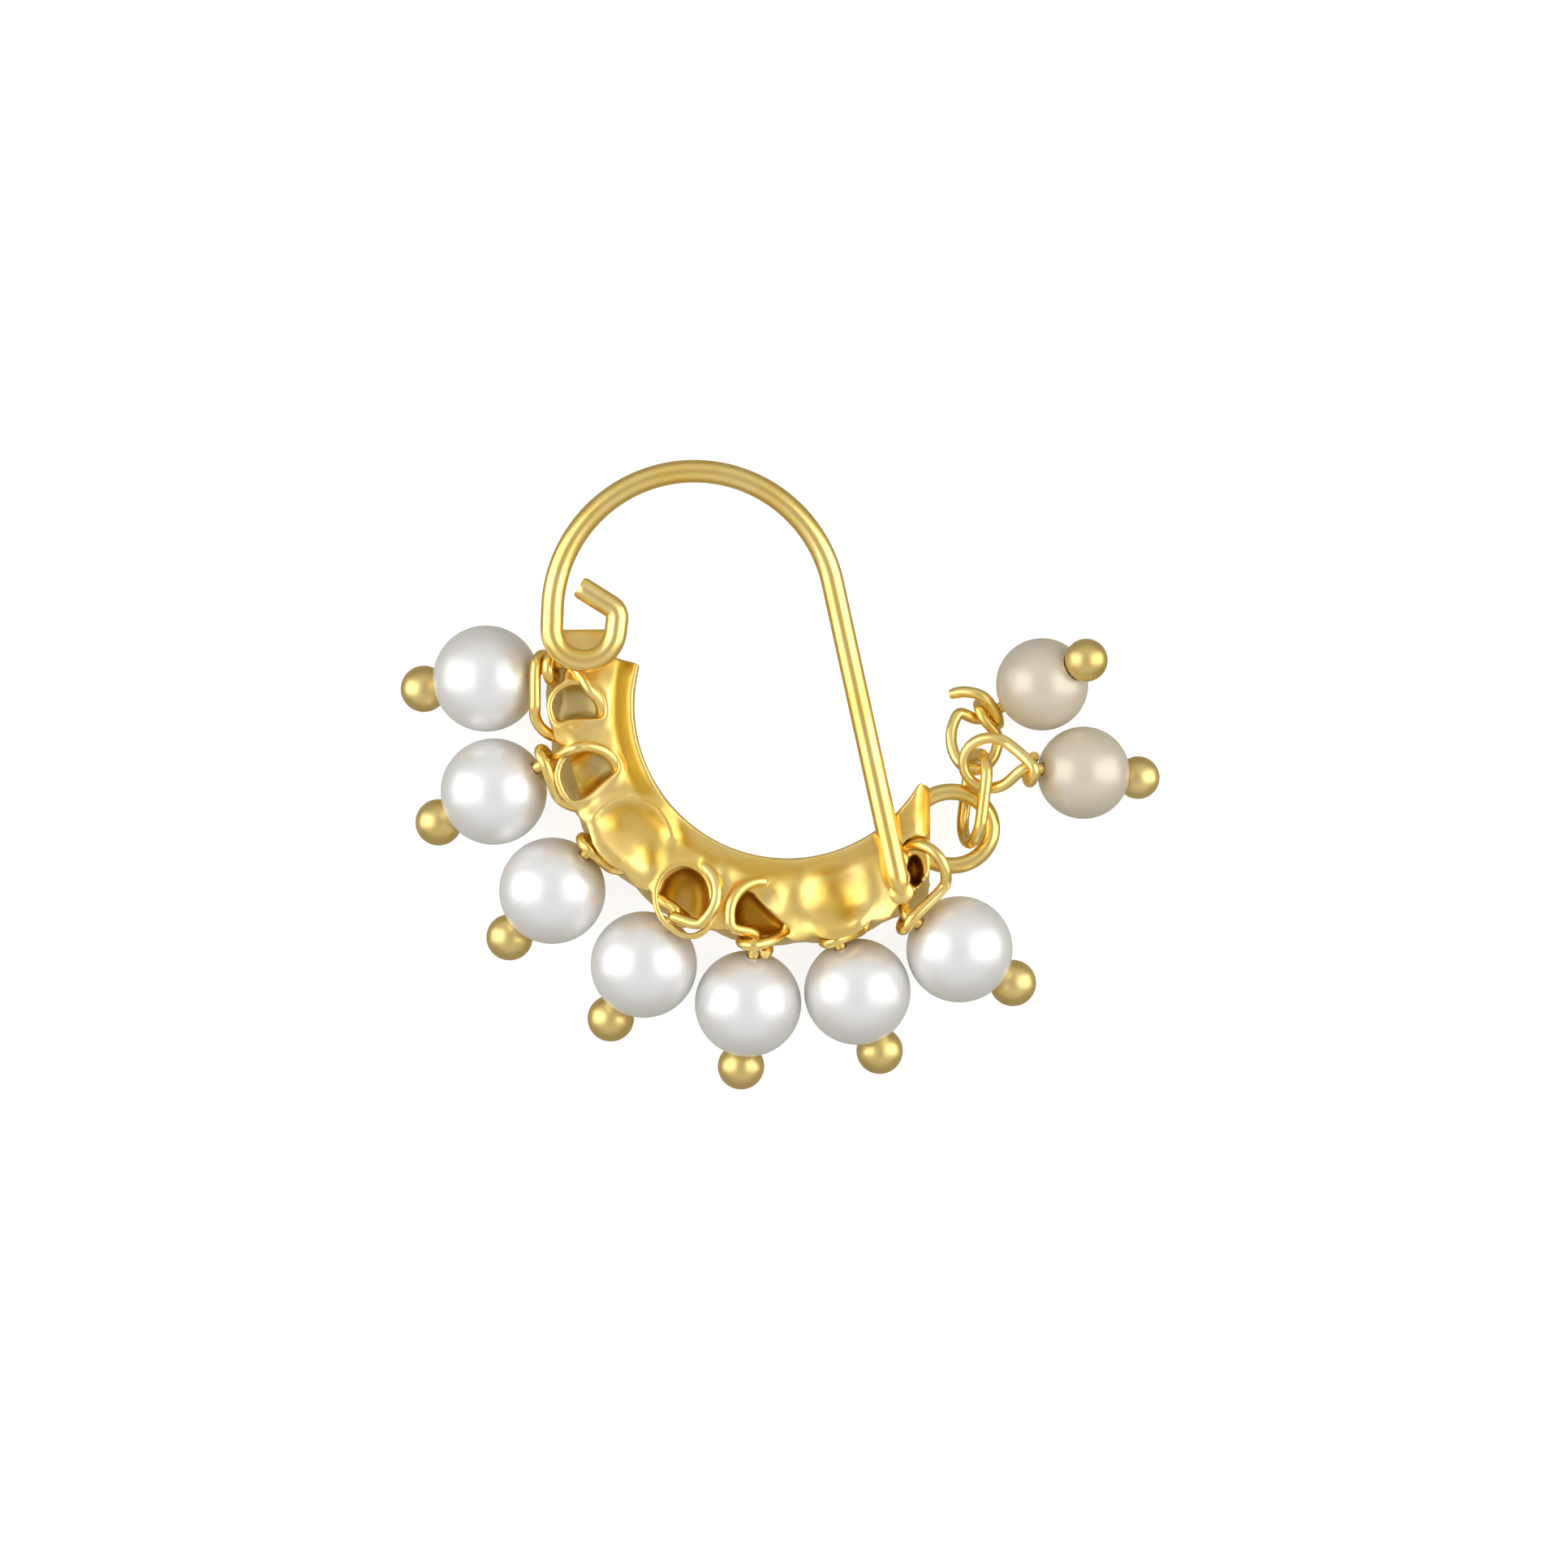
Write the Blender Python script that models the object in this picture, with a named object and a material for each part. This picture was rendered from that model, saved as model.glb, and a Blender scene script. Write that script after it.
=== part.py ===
"""Nose pin: a cast crescent with a soldered hook wire, seven pearl drops along its outer
edge, and a jump ring and a link that carry two smaller pearls.

It lies on its front. The crescent's centre is the middle of its inner arc, and everything
is laid out round it: X to the right, Y towards the bow of the hook, Z up out of the back.
The last step moves the whole object so that its box stands centred on the origin.
"""

import math

import bmesh
import bpy
from mathutils import Vector

MM = 0.001
TURN = 2 * math.pi
UP = Vector((0, 0, 1))

# Pearls and the balls that end their pins
PEARL_DIAMETER = 3.45 * MM
SMALL_PEARL_DIAMETER = 3.0 * MM
BALL_DIAMETER = 1.52 * MM
SMALL_BALL_DIAMETER = 1.4 * MM
PIN_WIRE = 0.37 * MM
BORE_CLEARANCE = 0.09 * MM
MOUTH_RADIUS = 0.48 * MM
BALL_SEAT_GAP = 0.04 * MM
PEARL_SIDES = 16
PEARL_ROWS = 9
BALL_SIDES = 12
WIRE_SIDES = 6

# The crescent
INNER_RADIUS = 4.97 * MM
LOBE_RADIUS = 7.9 * MM
NOTCH_DEPTH = 0.25 * MM
WALL_TOP_RADIUS = 7.3 * MM
RIB_TOP_RADIUS = 7.65 * MM
CANOPY_RADIUS = 7.75 * MM
BACK_HEIGHT = 3.1 * MM
PLATE = 0.32 * MM
FLOOR = 0.35 * MM
WALL = 0.3 * MM
INNER_WALL = 0.45 * MM
SHOULDER_HEIGHT = 2.0 * MM
FRONT_BEVEL = 0.15 * MM
PEARL_GAP = 0.2 * MM
DROP_GAP = 0.08 * MM
MIDDLE_ANGLE = 240.4
LEFT_END_MARGIN = 0.5
RIGHT_END_MARGIN = 1.13
HOLLOW_MARGIN = 0.36
HORN_REACH = 4.62 * MM
COLUMNS = 68
HOLLOW_COLUMNS = 44
INNER_RIM = 0.15 * MM
INNER_RIM_WIDTH = 0.22 * MM
CHANNEL_DEPTH = 0.12 * MM
CHANNEL_END = 0.85 * MM
CUP_RIM = 0.12 * MM
CUP_RIM_SPREAD = 0.22
DISH_DEPTH = 0.16 * MM
DISH_REACH = 0.95 * MM
DISH_WIDTH = 1.25 * MM
LIP_RISE = 0.42 * MM
WINDOW_REACH = 0.85 * MM
WINDOW_WIDTH = 0.8 * MM
WINDOW_SHIFT = 0.2 * MM
WINDOW_CENTRE_RADIUS = 6.7 * MM
DISH_CENTRE_RADIUS = 6.3 * MM
WINDOW_SIDES = 14

# The loops of the seven drops
LOOP_CENTRE_RADIUS = 6.95 * MM
LOOP_REACH = 1.08 * MM
LOOP_WIDTH = 0.97 * MM
PIN_STEP = 0.34 * MM
WRAP_GAP = 0.08 * MM
HOLE_CLEARANCE = 0.126 * MM

# The hook wire
HOOK_WIRE = 0.74 * MM
HOOK_SIDES = 10
RUN_LENGTH = 10.26 * MM
RUN_HEADING = 102.4
BOW_RADIUS = 4.57 * MM
CURL_HEADING = 268.0
CURL_DROP = 0.64 * MM
CURL_RADIUS = 1.03 * MM
CURL_SWEEP = 175.0
CURL_SIDE = 0.45 * MM
CURL_CORNER = 0.42 * MM
CURL_CORNER_SWEEP = 65.0
CURL_TAIL = 1.22 * MM
SOLDER_RADIUS = 7.1 * MM
SOLDER_STATION = 6.8
SOLDER_DEPTH = 0.12 * MM
NOSTRIL_GAP = 0.45 * MM

# The pad under the curl
PAD_WIDTH = 1.75 * MM
PAD_LENGTH = 1.2 * MM
PAD_THICKNESS = 0.5 * MM
PAD_DROP = 0.15 * MM

# The ring and the link at the right end
RING_WIRE = 0.54 * MM
RING_REACH = 1.32 * MM
RING_WIDTH = 1.2 * MM
RING_HEIGHT = 1.3 * MM
RING_BRIDGE = 0.22 * MM
RING_STATION = 7.63
LINK_WIRE = 0.4 * MM
LINK_LENGTH = 3.29 * MM
LINK_WIDTH = 2.05 * MM
LINK_HEIGHT = 1.5 * MM
LINK_LEAN = 70.0
LINK_HEADING = 83.0
LINK_BEARING = 55.0


def polar(radius, angle, height=0.0):
    turn = math.radians(angle)
    return Vector((radius * math.cos(turn), radius * math.sin(turn), height))


def blend(start, end, share):
    share = min(1.0, max(0.0, share))
    share = share * share * (3 - 2 * share)
    return start + (end - start) * share


def clear_scene():
    for item in list(bpy.data.objects):
        bpy.data.objects.remove(item)


def finish(name, colour, roughness, metallic):
    material = bpy.data.materials.new(name)
    material.use_nodes = True
    shader = material.node_tree.nodes["Principled BSDF"]
    shader.inputs["Base Color"].default_value = (*colour, 1)
    shader.inputs["Roughness"].default_value = roughness
    shader.inputs["Metallic"].default_value = metallic
    return material


def add_object(name, points, faces, material, smooth_angle=40.0):
    mesh = bpy.data.meshes.new(name)
    mesh.from_pydata([tuple(point) for point in points], [], faces)
    shape = bmesh.new()
    shape.from_mesh(mesh)
    bmesh.ops.recalc_face_normals(shape, faces=shape.faces)
    shape.to_mesh(mesh)
    shape.free()
    mesh.shade_smooth()
    mesh.set_sharp_from_angle(angle=math.radians(smooth_angle))
    item = bpy.data.objects.new(name, mesh)
    item.data.materials.append(material)
    bpy.context.scene.collection.objects.link(item)
    return item


def bridge(first, first_count, second, second_count):
    """Faces between two rings of points, of equal counts or with half as many in the second."""
    faces = []
    for i in range(second_count):
        n = (i + 1) % second_count
        if first_count == second_count:
            faces.append((first + i, first + n, second + n, second + i))
        else:
            a, b, c = 2 * i, 2 * i + 1, (2 * i + 2) % first_count
            faces.append((first + a, first + b, second + i))
            faces.append((first + b, second + n, second + i))
            faces.append((first + b, first + c, second + n))
    return faces


def frames_along(path, closed=False):
    """A pair of cross directions at each point of a path, carried along without twist."""
    count = len(path)
    tangents = []
    for i in range(count):
        before = path[i - 1] if i or closed else path[0]
        after = path[(i + 1) % count] if i < count - 1 or closed else path[-1]
        tangents.append((after - before).normalized())
    side = tangents[0].orthogonal().normalized()
    frames = []
    for tangent in tangents:
        side = (side - tangent * side.dot(tangent)).normalized()
        frames.append((side, tangent.cross(side)))
    if closed:
        last = frames[-1][0]
        last = (last - tangents[0] * last.dot(tangents[0])).normalized()
        twist = math.atan2(last.dot(frames[0][1]), last.dot(frames[0][0]))
        for i, (a, b) in enumerate(frames):
            turn = -twist * i / count
            frames[i] = (a * math.cos(turn) + b * math.sin(turn), b * math.cos(turn) - a * math.sin(turn))
    return frames


def tube(path, radii, sides):
    """Points and faces of a closed-ended tube. Each place on the path has a radius and a count of sides."""
    points, faces, starts = [], [], []
    for place, (a, b), radius, count in zip(path, frames_along(path), radii, sides):
        starts.append(len(points))
        for i in range(count):
            turn = TURN * i / count
            points.append(place + radius * (a * math.cos(turn) + b * math.sin(turn)))
    for i in range(len(path) - 1):
        faces += bridge(starts[i], sides[i], starts[i + 1], sides[i + 1])
    faces.append(tuple(range(starts[0] + sides[0] - 1, starts[0] - 1, -1)))
    faces.append(tuple(range(starts[-1], starts[-1] + sides[-1])))
    return points, faces


def hoop(path, radius, sides):
    """Points and faces of a tube that closes on itself."""
    points, faces = [], []
    for place, (a, b) in zip(path, frames_along(path, closed=True)):
        for i in range(sides):
            turn = TURN * i / sides
            points.append(place + radius * (a * math.cos(turn) + b * math.sin(turn)))
    count = len(path)
    for i in range(count):
        faces += bridge(i * sides, sides, ((i + 1) % count) * sides, sides)
    return points, faces


def smooth_path(controls, step):
    """Points about one step apart on a smooth curve through the control points."""
    path = [controls[0]]
    for i in range(len(controls) - 1):
        p1, p2 = controls[i], controls[i + 1]
        p0 = controls[i - 1] if i else p1 - (p2 - p1)
        p3 = controls[i + 2] if i + 2 < len(controls) else p2 + (p2 - p1)
        t1 = math.sqrt((p1 - p0).length)
        t2 = math.sqrt((p2 - p1).length)
        t3 = math.sqrt((p3 - p2).length)
        m1 = (p2 - p1) - t2 * ((p2 - p0) / (t1 + t2) - (p1 - p0) / t1)
        m2 = (p2 - p1) + t2 * ((p3 - p2) / t3 - (p3 - p1) / (t2 + t3))
        pieces = max(1, round((p2 - p1).length / step))
        for j in range(1, pieces + 1):
            u = j / pieces
            a = 2 * u**3 - 3 * u**2 + 1
            b = u**3 - 2 * u**2 + u
            c = u**3 - u**2
            path.append(a * p1 + b * m1 + (1 - a) * p2 + c * m2)
    return path


# Pearls

def ball_distance(pearl, ball):
    """From a pearl's centre to the centre of the ball seated in its drilled mouth."""
    rim = math.sqrt((pearl / 2) ** 2 - MOUTH_RADIUS**2)
    cap = math.sqrt((ball / 2) ** 2 - MOUTH_RADIUS**2)
    return rim + cap + BALL_SEAT_GAP


def add_pearl(name, diameter, place, ball_direction, material):
    """A round bead with a bore for the pin and a countersunk mouth towards the ball."""
    radius = diameter / 2
    bore = PIN_WIRE / 2 + BORE_CLEARANCE
    start = math.asin(MOUTH_RADIUS / radius)
    end = math.pi - math.asin(bore / radius)
    profile = []
    for i in range(PEARL_ROWS + 1):
        turn = start + (end - start) * i / PEARL_ROWS
        profile.append((radius * math.sin(turn), radius * math.cos(turn)))
    profile.append((bore, radius * math.cos(start) - (MOUTH_RADIUS - bore)))
    points, faces = [], []
    for across, along in profile:
        for i in range(PEARL_SIDES):
            turn = TURN * i / PEARL_SIDES
            points.append(Vector((across * math.cos(turn), across * math.sin(turn), along)))
    for i in range(len(profile)):
        after = (i + 1) % len(profile)
        faces += bridge(i * PEARL_SIDES, PEARL_SIDES, after * PEARL_SIDES, PEARL_SIDES)
    item = add_object(name, points, faces, material)
    item.location = place
    item.rotation_mode = "QUATERNION"
    item.rotation_quaternion = UP.rotation_difference(ball_direction)
    return item


# Head pins

def loop_path(pole, neck, centre, reach, width, sense, opening, rise, foot, turns, climb):
    """The wire beyond the pearl: neck, loop, and the wraps round the neck.

    reach and width are the loop's half axes as vectors. sense is the way round, opening the
    part of the turn left out at each end, rise the height on the neck where the loop starts,
    foot where it comes back, and climb is 1 for wraps that run away from the pearl.
    """
    wrap_radius = PIN_WIRE + WRAP_GAP
    pitch = PIN_WIRE + WRAP_GAP
    start = pole + neck * rise
    over = (UP - neck * UP.dot(neck)).normalized()
    across = neck.cross(over)
    if across.dot(centre - start) > 0:
        across = -across
    back = pole + neck * foot + over * wrap_radius

    def bearing(place):
        offset = place - centre
        return math.atan2(offset.dot(width) / width.length_squared, offset.dot(reach) / reach.length_squared)

    first = bearing(start) + sense * opening
    last = bearing(back) - sense * opening
    while (last - first) * sense < math.pi:
        last += sense * TURN
    steps = 14
    path = [pole, start]
    for i in range(steps + 1):
        turn = first + (last - first) * i / steps
        path.append(centre + reach * math.cos(turn) + width * math.sin(turn))
    wrap_steps = max(3, round(9 * turns))
    for i in range(wrap_steps + 1):
        turn = TURN * turns * i / wrap_steps
        along = neck * (foot + climb * pitch * turn / TURN)
        path.append(pole + along + wrap_radius * (over * math.cos(turn) + across * math.sin(turn)))
    return path


def add_pin(name, ball, ball_place, inward, path, material):
    """A pin in one piece: the ball, the wire through the pearl, the loop and the wraps."""
    wire = PIN_WIRE / 2
    radius = ball / 2
    bands = 6
    places, radii, sides = [], [], []
    for i in range(bands):
        turn = math.pi * max(i, 0.35) / bands
        places.append(ball_place - inward * radius * math.cos(turn))
        radii.append(radius * math.sin(turn))
        sides.append(BALL_SIDES)
    places.append(ball_place + inward * math.sqrt(radius**2 - wire**2))
    radii.append(wire)
    sides.append(WIRE_SIDES)
    for place in path:
        places.append(place)
        radii.append(wire)
        sides.append(WIRE_SIDES)
    points, faces = tube(places, radii, sides)
    return add_object(name, points, faces, material)


# The seven drops. bearing and loop_bearing are shares of the pitch from the station, out and
# loop_out shares of the drop circle's and the loop circle's radius, swing the angle from straight
# outwards. high is the loop's height in millimetres, reach and width its size as shares. side is
# the way to the pierced hole: 1 towards higher station numbers.
DROPS = [
    dict(station=1, bearing=-0.02, out=1.01, swing=14.1, loop_bearing=0.29, loop_out=1.02, high=2.92,
         reach=1.0, width=0.92, roll=30, side=1, opening=0.7, rise=1.35, foot=0.3,
         turns=1.45, climb=1),
    dict(station=2, bearing=-0.03, out=1.022, swing=12.4, loop_bearing=0.115, loop_out=1.0, high=2.92,
         reach=1.0, width=1.0, roll=30, side=1, opening=0.95, rise=0.6, foot=0.6,
         turns=0.75, climb=-1),
    dict(station=3, bearing=-0.02, out=1.0, swing=8.9, loop_bearing=0.04, loop_out=1.01, high=2.32,
         reach=0.78, width=0.88, roll=8, side=1, opening=1.1, rise=0.5, foot=0.5,
         turns=0.6, climb=-1),
    dict(station=4, bearing=0.03, out=0.99, swing=-2.7, loop_bearing=0.075, loop_out=1.0, high=2.92,
         reach=1.0, width=1.0, roll=30, side=-1, opening=0.9, rise=0.52, foot=0.52,
         turns=0.6, climb=-1),
    dict(station=5, bearing=0.02, out=1.005, swing=1.1, loop_bearing=0.02, loop_out=0.98, high=2.92,
         reach=0.97, width=1.0, roll=30, side=1, opening=1.1, rise=0.75, foot=0.6,
         turns=0.85, climb=-1),
    dict(station=6, bearing=0.0, out=0.985, swing=6.9, loop_bearing=0.04, loop_out=1.0, high=2.32,
         reach=0.78, width=0.88, roll=8, side=1, opening=1.15, rise=0.5, foot=0.5,
         turns=0.6, climb=-1),
    dict(station=7, bearing=-0.01, out=0.998, swing=22.4, loop_bearing=0.14, loop_out=0.99, high=2.6,
         reach=0.88, width=0.8, roll=45, side=-1, opening=0.85, rise=0.52, foot=0.52,
         turns=0.6, climb=-1),
]
CLOSED_STATIONS = (3, 6)
MIDDLE_STATION = 4
RISE_UNIT = 1.0 * MM


def drop_circle():
    return LOBE_RADIUS + DROP_GAP + PEARL_DIAMETER / 2


def pitch_angle():
    chord = PEARL_DIAMETER + PEARL_GAP
    return math.degrees(2 * math.asin(chord / (2 * drop_circle())))


def station_angle(station):
    return MIDDLE_ANGLE + (station - MIDDLE_STATION) * pitch_angle()


def drop_layout(drop):
    """The places and directions of one drop."""
    angle = station_angle(drop["station"] + drop["bearing"])
    pearl_place = polar(drop_circle() * drop["out"], angle, PEARL_DIAMETER / 2)
    distance = ball_distance(PEARL_DIAMETER, BALL_DIAMETER)
    tilt = math.asin((PEARL_DIAMETER - BALL_DIAMETER) / 2 / distance)
    outward = polar(math.cos(tilt), angle + drop["swing"], -math.sin(tilt))
    loop_angle = station_angle(drop["station"] + drop["loop_bearing"])
    centre = polar(LOOP_CENTRE_RADIUS * drop["loop_out"], loop_angle, drop["high"] * MM)
    reach = polar(-LOOP_REACH * drop["reach"], loop_angle)
    half = LOOP_WIDTH * drop["width"]
    width = polar(half, loop_angle + 90)
    width.z = -drop["side"] * half * math.tan(math.radians(drop["roll"]))
    return pearl_place, outward, centre, reach, width


def drop_wire(drop):
    pearl_place, outward, centre, reach, width = drop_layout(drop)
    pole = pearl_place - outward * PEARL_DIAMETER / 2
    return loop_path(pole, -outward, centre, reach, width, 1, drop["opening"],
                     drop["rise"] * RISE_UNIT, drop["foot"] * RISE_UNIT, drop["turns"], drop["climb"])


def add_drops(gold, white):
    for drop in DROPS:
        number = drop["station"]
        pearl_place, outward, centre, reach, width = drop_layout(drop)
        ball_place = pearl_place + outward * ball_distance(PEARL_DIAMETER, BALL_DIAMETER)
        add_pearl(f"pearl_{number}", PEARL_DIAMETER, pearl_place, outward, white)
        path = smooth_path(drop_wire(drop), PIN_STEP)
        add_pin(f"head_pin_{number}", BALL_DIAMETER, ball_place, -outward, path, gold)


# The crescent. These places across its back run from the inner edge (0) to the lip (1).
BACK_PLACES = (0.0, 0.07, 0.14, 0.24, 0.36, 0.49, 0.62, 0.75, 0.88, 1.0)


def station_at(angle):
    return MIDDLE_STATION + (angle - MIDDLE_ANGLE) / pitch_angle()


def dish_share(angle):
    """How far this place belongs to a closed dish, from 0 to 1."""
    station = station_at(angle)
    return max(blend(1.0, 0.0, (abs(station - closed) - 0.15) / 0.5) for closed in CLOSED_STATIONS)


def cup_axes(drop):
    """The middle of a cup or dish and its directions inwards and along the crescent."""
    outward = polar(1, station_angle(drop["station"] + drop["loop_bearing"]))
    along = UP.cross(outward)
    if drop["station"] in CLOSED_STATIONS:
        return outward * DISH_CENTRE_RADIUS, -outward, along, DISH_REACH, DISH_WIDTH
    middle = outward * WINDOW_CENTRE_RADIUS - along * drop["side"] * WINDOW_SHIFT
    return middle, -outward, along, WINDOW_REACH, WINDOW_WIDTH


def back_height(radius, angle):
    """The height of the back: an inner rim, a channel beside it, and rims round cups and dishes."""
    inset = radius - INNER_RADIUS
    height = BACK_HEIGHT + INNER_RIM * blend(1.0, 0.0, (inset - INNER_RIM_WIDTH) / INNER_RIM_WIDTH)
    channel = blend(0.0, 1.0, (inset - INNER_RIM_WIDTH) / INNER_RIM_WIDTH)
    channel *= blend(1.0, 0.0, (inset - CHANNEL_END / 2) / (CHANNEL_END / 2))
    channel *= blend(1.0, 0.0, station_at(angle) - MIDDLE_STATION * 2 + 2)
    height -= CHANNEL_DEPTH * channel
    for drop in DROPS:
        middle, inward, along, reach, width = cup_axes(drop)
        offset = polar(radius, angle) - middle
        spread = math.hypot(offset.dot(inward) / reach, offset.dot(along) / width)
        height += CUP_RIM * math.exp(-(((spread - 1.1) / CUP_RIM_SPREAD) ** 2))
        if drop["station"] in CLOSED_STATIONS:
            height -= DISH_DEPTH * blend(1.0, 0.0, spread)
    return height


def lobe_share(angle):
    """1 at the middle of a lobe and 0 in the notch between two."""
    station = station_at(angle)
    return max(0.0, math.cos(math.pi * (station - round(station)))) ** 0.6


def wall_radius(angle):
    """The radius of the upper wall: set back at the wraps, full at the ribs between them."""
    station = station_at(angle)
    share = blend(0.0, 1.0, (abs(station - round(station)) - 0.2) / 0.25)
    return WALL_TOP_RADIUS + (RIB_TOP_RADIUS - WALL_TOP_RADIUS) * share


def end_limit(angle):
    """The straight cut of the right end."""
    return HORN_REACH / max(0.2, math.cos(math.radians(angle)))


def crescent_section(angle):
    """The outline of the solid crescent at one angle, as pairs of radius and height."""
    limit = end_limit(angle)
    lobe = lobe_share(angle)
    dish = dish_share(angle)
    front = min(limit, LOBE_RADIUS - NOTCH_DEPTH * (1 - lobe))
    wall = min(limit, wall_radius(angle))
    lip = max(wall, min(limit, WALL_TOP_RADIUS + (CANOPY_RADIUS - WALL_TOP_RADIUS) * dish * lobe))
    back = []
    for across in BACK_PLACES:
        radius = INNER_RADIUS + (lip - INNER_RADIUS) * across
        height = back_height(radius, angle)
        height += LIP_RISE * dish * blend(0.0, 1.0, (across - 0.6) / 0.4)
        back.append((radius, height))
    lip_height = back[-1][1]
    outline = [(INNER_RADIUS, FRONT_BEVEL), (INNER_RADIUS + FRONT_BEVEL, 0)]
    outline += [(front - FRONT_BEVEL, 0), (front, FRONT_BEVEL)]
    outline += [(wall, SHOULDER_HEIGHT), (wall, lip_height - PLATE * 1.2), (lip, lip_height - PLATE * 0.7)]
    return outline + back[::-1]


def hollow_section(angle):
    """The outline of the hollow inside the crescent."""
    limit = end_limit(angle) - WALL
    inner = INNER_RADIUS + INNER_WALL
    front = min(limit, LOBE_RADIUS - NOTCH_DEPTH * (1 - lobe_share(angle)) - WALL * 1.4)
    wall = min(limit, wall_radius(angle) - WALL)
    top = BACK_HEIGHT - PLATE
    return [(inner, FLOOR), (front, FLOOR), (wall, SHOULDER_HEIGHT), (wall, top), (inner, top)]


def loft(section, start, end, columns):
    """Points and faces of a closed solid through sections at even steps of angle."""
    points, faces = [], []
    for i in range(columns + 1):
        angle = start + (end - start) * i / columns
        outline = section(angle)
        points += [polar(radius, angle, height) for radius, height in outline]
    count = len(outline)
    for i in range(columns):
        faces += bridge(i * count, count, (i + 1) * count, count)
    faces.append(tuple(range(count)))
    faces.append(tuple(range(columns * count, (columns + 1) * count)))
    return points, faces


def window_cutter(drop):
    """The opening over one cup, a rounded outline that leaves a flap over the pierced side."""
    middle, inward, along, reach, width = cup_axes(drop)
    points = []
    for height in (BACK_HEIGHT - 2 * PLATE, BACK_HEIGHT + 2 * PLATE):
        for i in range(WINDOW_SIDES):
            turn = TURN * i / WINDOW_SIDES
            c, s = math.cos(turn), math.sin(turn)
            across = math.copysign(abs(c) ** 0.75, c) * reach
            beside = math.copysign(abs(s) ** 0.75, s) * width
            points.append(middle + inward * across + along * beside + UP * height)
    faces = bridge(0, WINDOW_SIDES, WINDOW_SIDES, WINDOW_SIDES)
    faces.append(tuple(range(WINDOW_SIDES)))
    faces.append(tuple(range(WINDOW_SIDES, 2 * WINDOW_SIDES)))
    return points, faces


def pad_block():
    """The flat pad under the curl, run into the crescent's left end."""
    middle = curl_centre()
    high = middle.y
    low = high - PAD_LENGTH
    top = BACK_HEIGHT - PAD_DROP
    points = []
    for height in (top - PAD_THICKNESS, top):
        for x, y in ((-1, low), (1, low), (1, high), (-1, high)):
            points.append(Vector((middle.x + x * PAD_WIDTH / 2, y, height)))
    faces = [(0, 1, 2, 3), (4, 5, 6, 7), (0, 1, 5, 4), (1, 2, 6, 5), (2, 3, 7, 6), (3, 0, 4, 7)]
    return points, faces


# The hook wire

def hook_outline():
    """The hook in plan, drawn from the soldered end: straight run, bow, curl and its tail."""
    path = [polar(SOLDER_RADIUS, station_angle(SOLDER_STATION))]
    heading = RUN_HEADING

    def run(length, pieces):
        for _ in range(pieces):
            path.append(path[-1] + polar(length / pieces, heading))

    def bend(radius, sweep, pieces, heading):
        middle = path[-1] + polar(radius, heading + 90)
        for i in range(1, pieces + 1):
            path.append(middle + polar(radius, heading - 90 + sweep * i / pieces))
        return heading + sweep

    run(RUN_LENGTH, 8)
    heading = bend(BOW_RADIUS, CURL_HEADING - RUN_HEADING, 18, heading)
    run(CURL_DROP, 1)
    heading = bend(CURL_RADIUS, CURL_SWEEP, 9, heading)
    run(CURL_SIDE, 1)
    heading = bend(CURL_CORNER, CURL_CORNER_SWEEP, 4, heading)
    run(CURL_TAIL, 2)
    return path


def curl_centre():
    """The middle of the curl's round lower end. Seventeen places of the outline follow its start."""
    return hook_outline()[-17] + polar(CURL_RADIUS, CURL_HEADING + 90)


def hook_wire():
    """The hook lifted to its height: soldered to the back at one end, over the pad at the other."""
    path = hook_outline()
    low = BACK_HEIGHT + HOOK_WIRE / 2 - SOLDER_DEPTH
    high = BACK_HEIGHT - PAD_DROP + NOSTRIL_GAP + HOOK_WIRE / 2
    lengths = [0.0]
    for before, after in zip(path, path[1:]):
        lengths.append(lengths[-1] + (after - before).length)
    climb = RUN_LENGTH + BOW_RADIUS
    lifted = [place + UP * blend(low, high, length / climb) for place, length in zip(path, lengths)]
    radii = [HOOK_WIRE / 2] * len(path)
    radii[0] *= 0.75
    return tube(lifted, radii, [HOOK_SIDES] * len(path))


def shape_with(item, operation, name, points, faces, material):
    """Add to or cut from an item with a hidden object."""
    tool = add_object(name, points, faces, material)
    tool.hide_render = True
    tool.display_type = "WIRE"
    modifier = item.modifiers.new(name, "BOOLEAN")
    modifier.operation = operation
    modifier.object = tool
    modifier.solver = "EXACT"
    modifier.use_self = True


def add_crescent(gold):
    start = station_angle(1 - LEFT_END_MARGIN)
    end = station_angle(MIDDLE_STATION * 2 - 1 + RIGHT_END_MARGIN)
    crescent = add_object("crescent_with_nose_wire", *loft(crescent_section, start, end, COLUMNS), gold)
    shape_with(crescent, "UNION", "pad", *pad_block(), gold)
    start = station_angle(1 - HOLLOW_MARGIN)
    end = station_angle(MIDDLE_STATION * 2 - 1 + HOLLOW_MARGIN / 2)
    shape_with(crescent, "DIFFERENCE", "hollow", *loft(hollow_section, start, end, HOLLOW_COLUMNS), gold)
    for drop in DROPS:
        number = drop["station"]
        if number not in CLOSED_STATIONS:
            shape_with(crescent, "DIFFERENCE", f"window_{number}", *window_cutter(drop), gold)
        path = smooth_path(drop_wire(drop), PIN_STEP)
        path.append(path[-1] + (path[-1] - path[-2]).normalized() * HOLE_CLEARANCE)
        passage = tube(path, [PIN_WIRE / 2 + HOLE_CLEARANCE] * len(path), [WIRE_SIDES] * len(path))
        shape_with(crescent, "DIFFERENCE", f"passage_{number}", *passage, gold)
    passage = hoop(ring_path(), RING_WIRE / 2 + HOLE_CLEARANCE, 8)
    shape_with(crescent, "DIFFERENCE", "passage_ring", *passage, gold)
    shape_with(crescent, "UNION", "hook_wire", *hook_wire(), gold)


# The ring, the link and the two end drops

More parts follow.
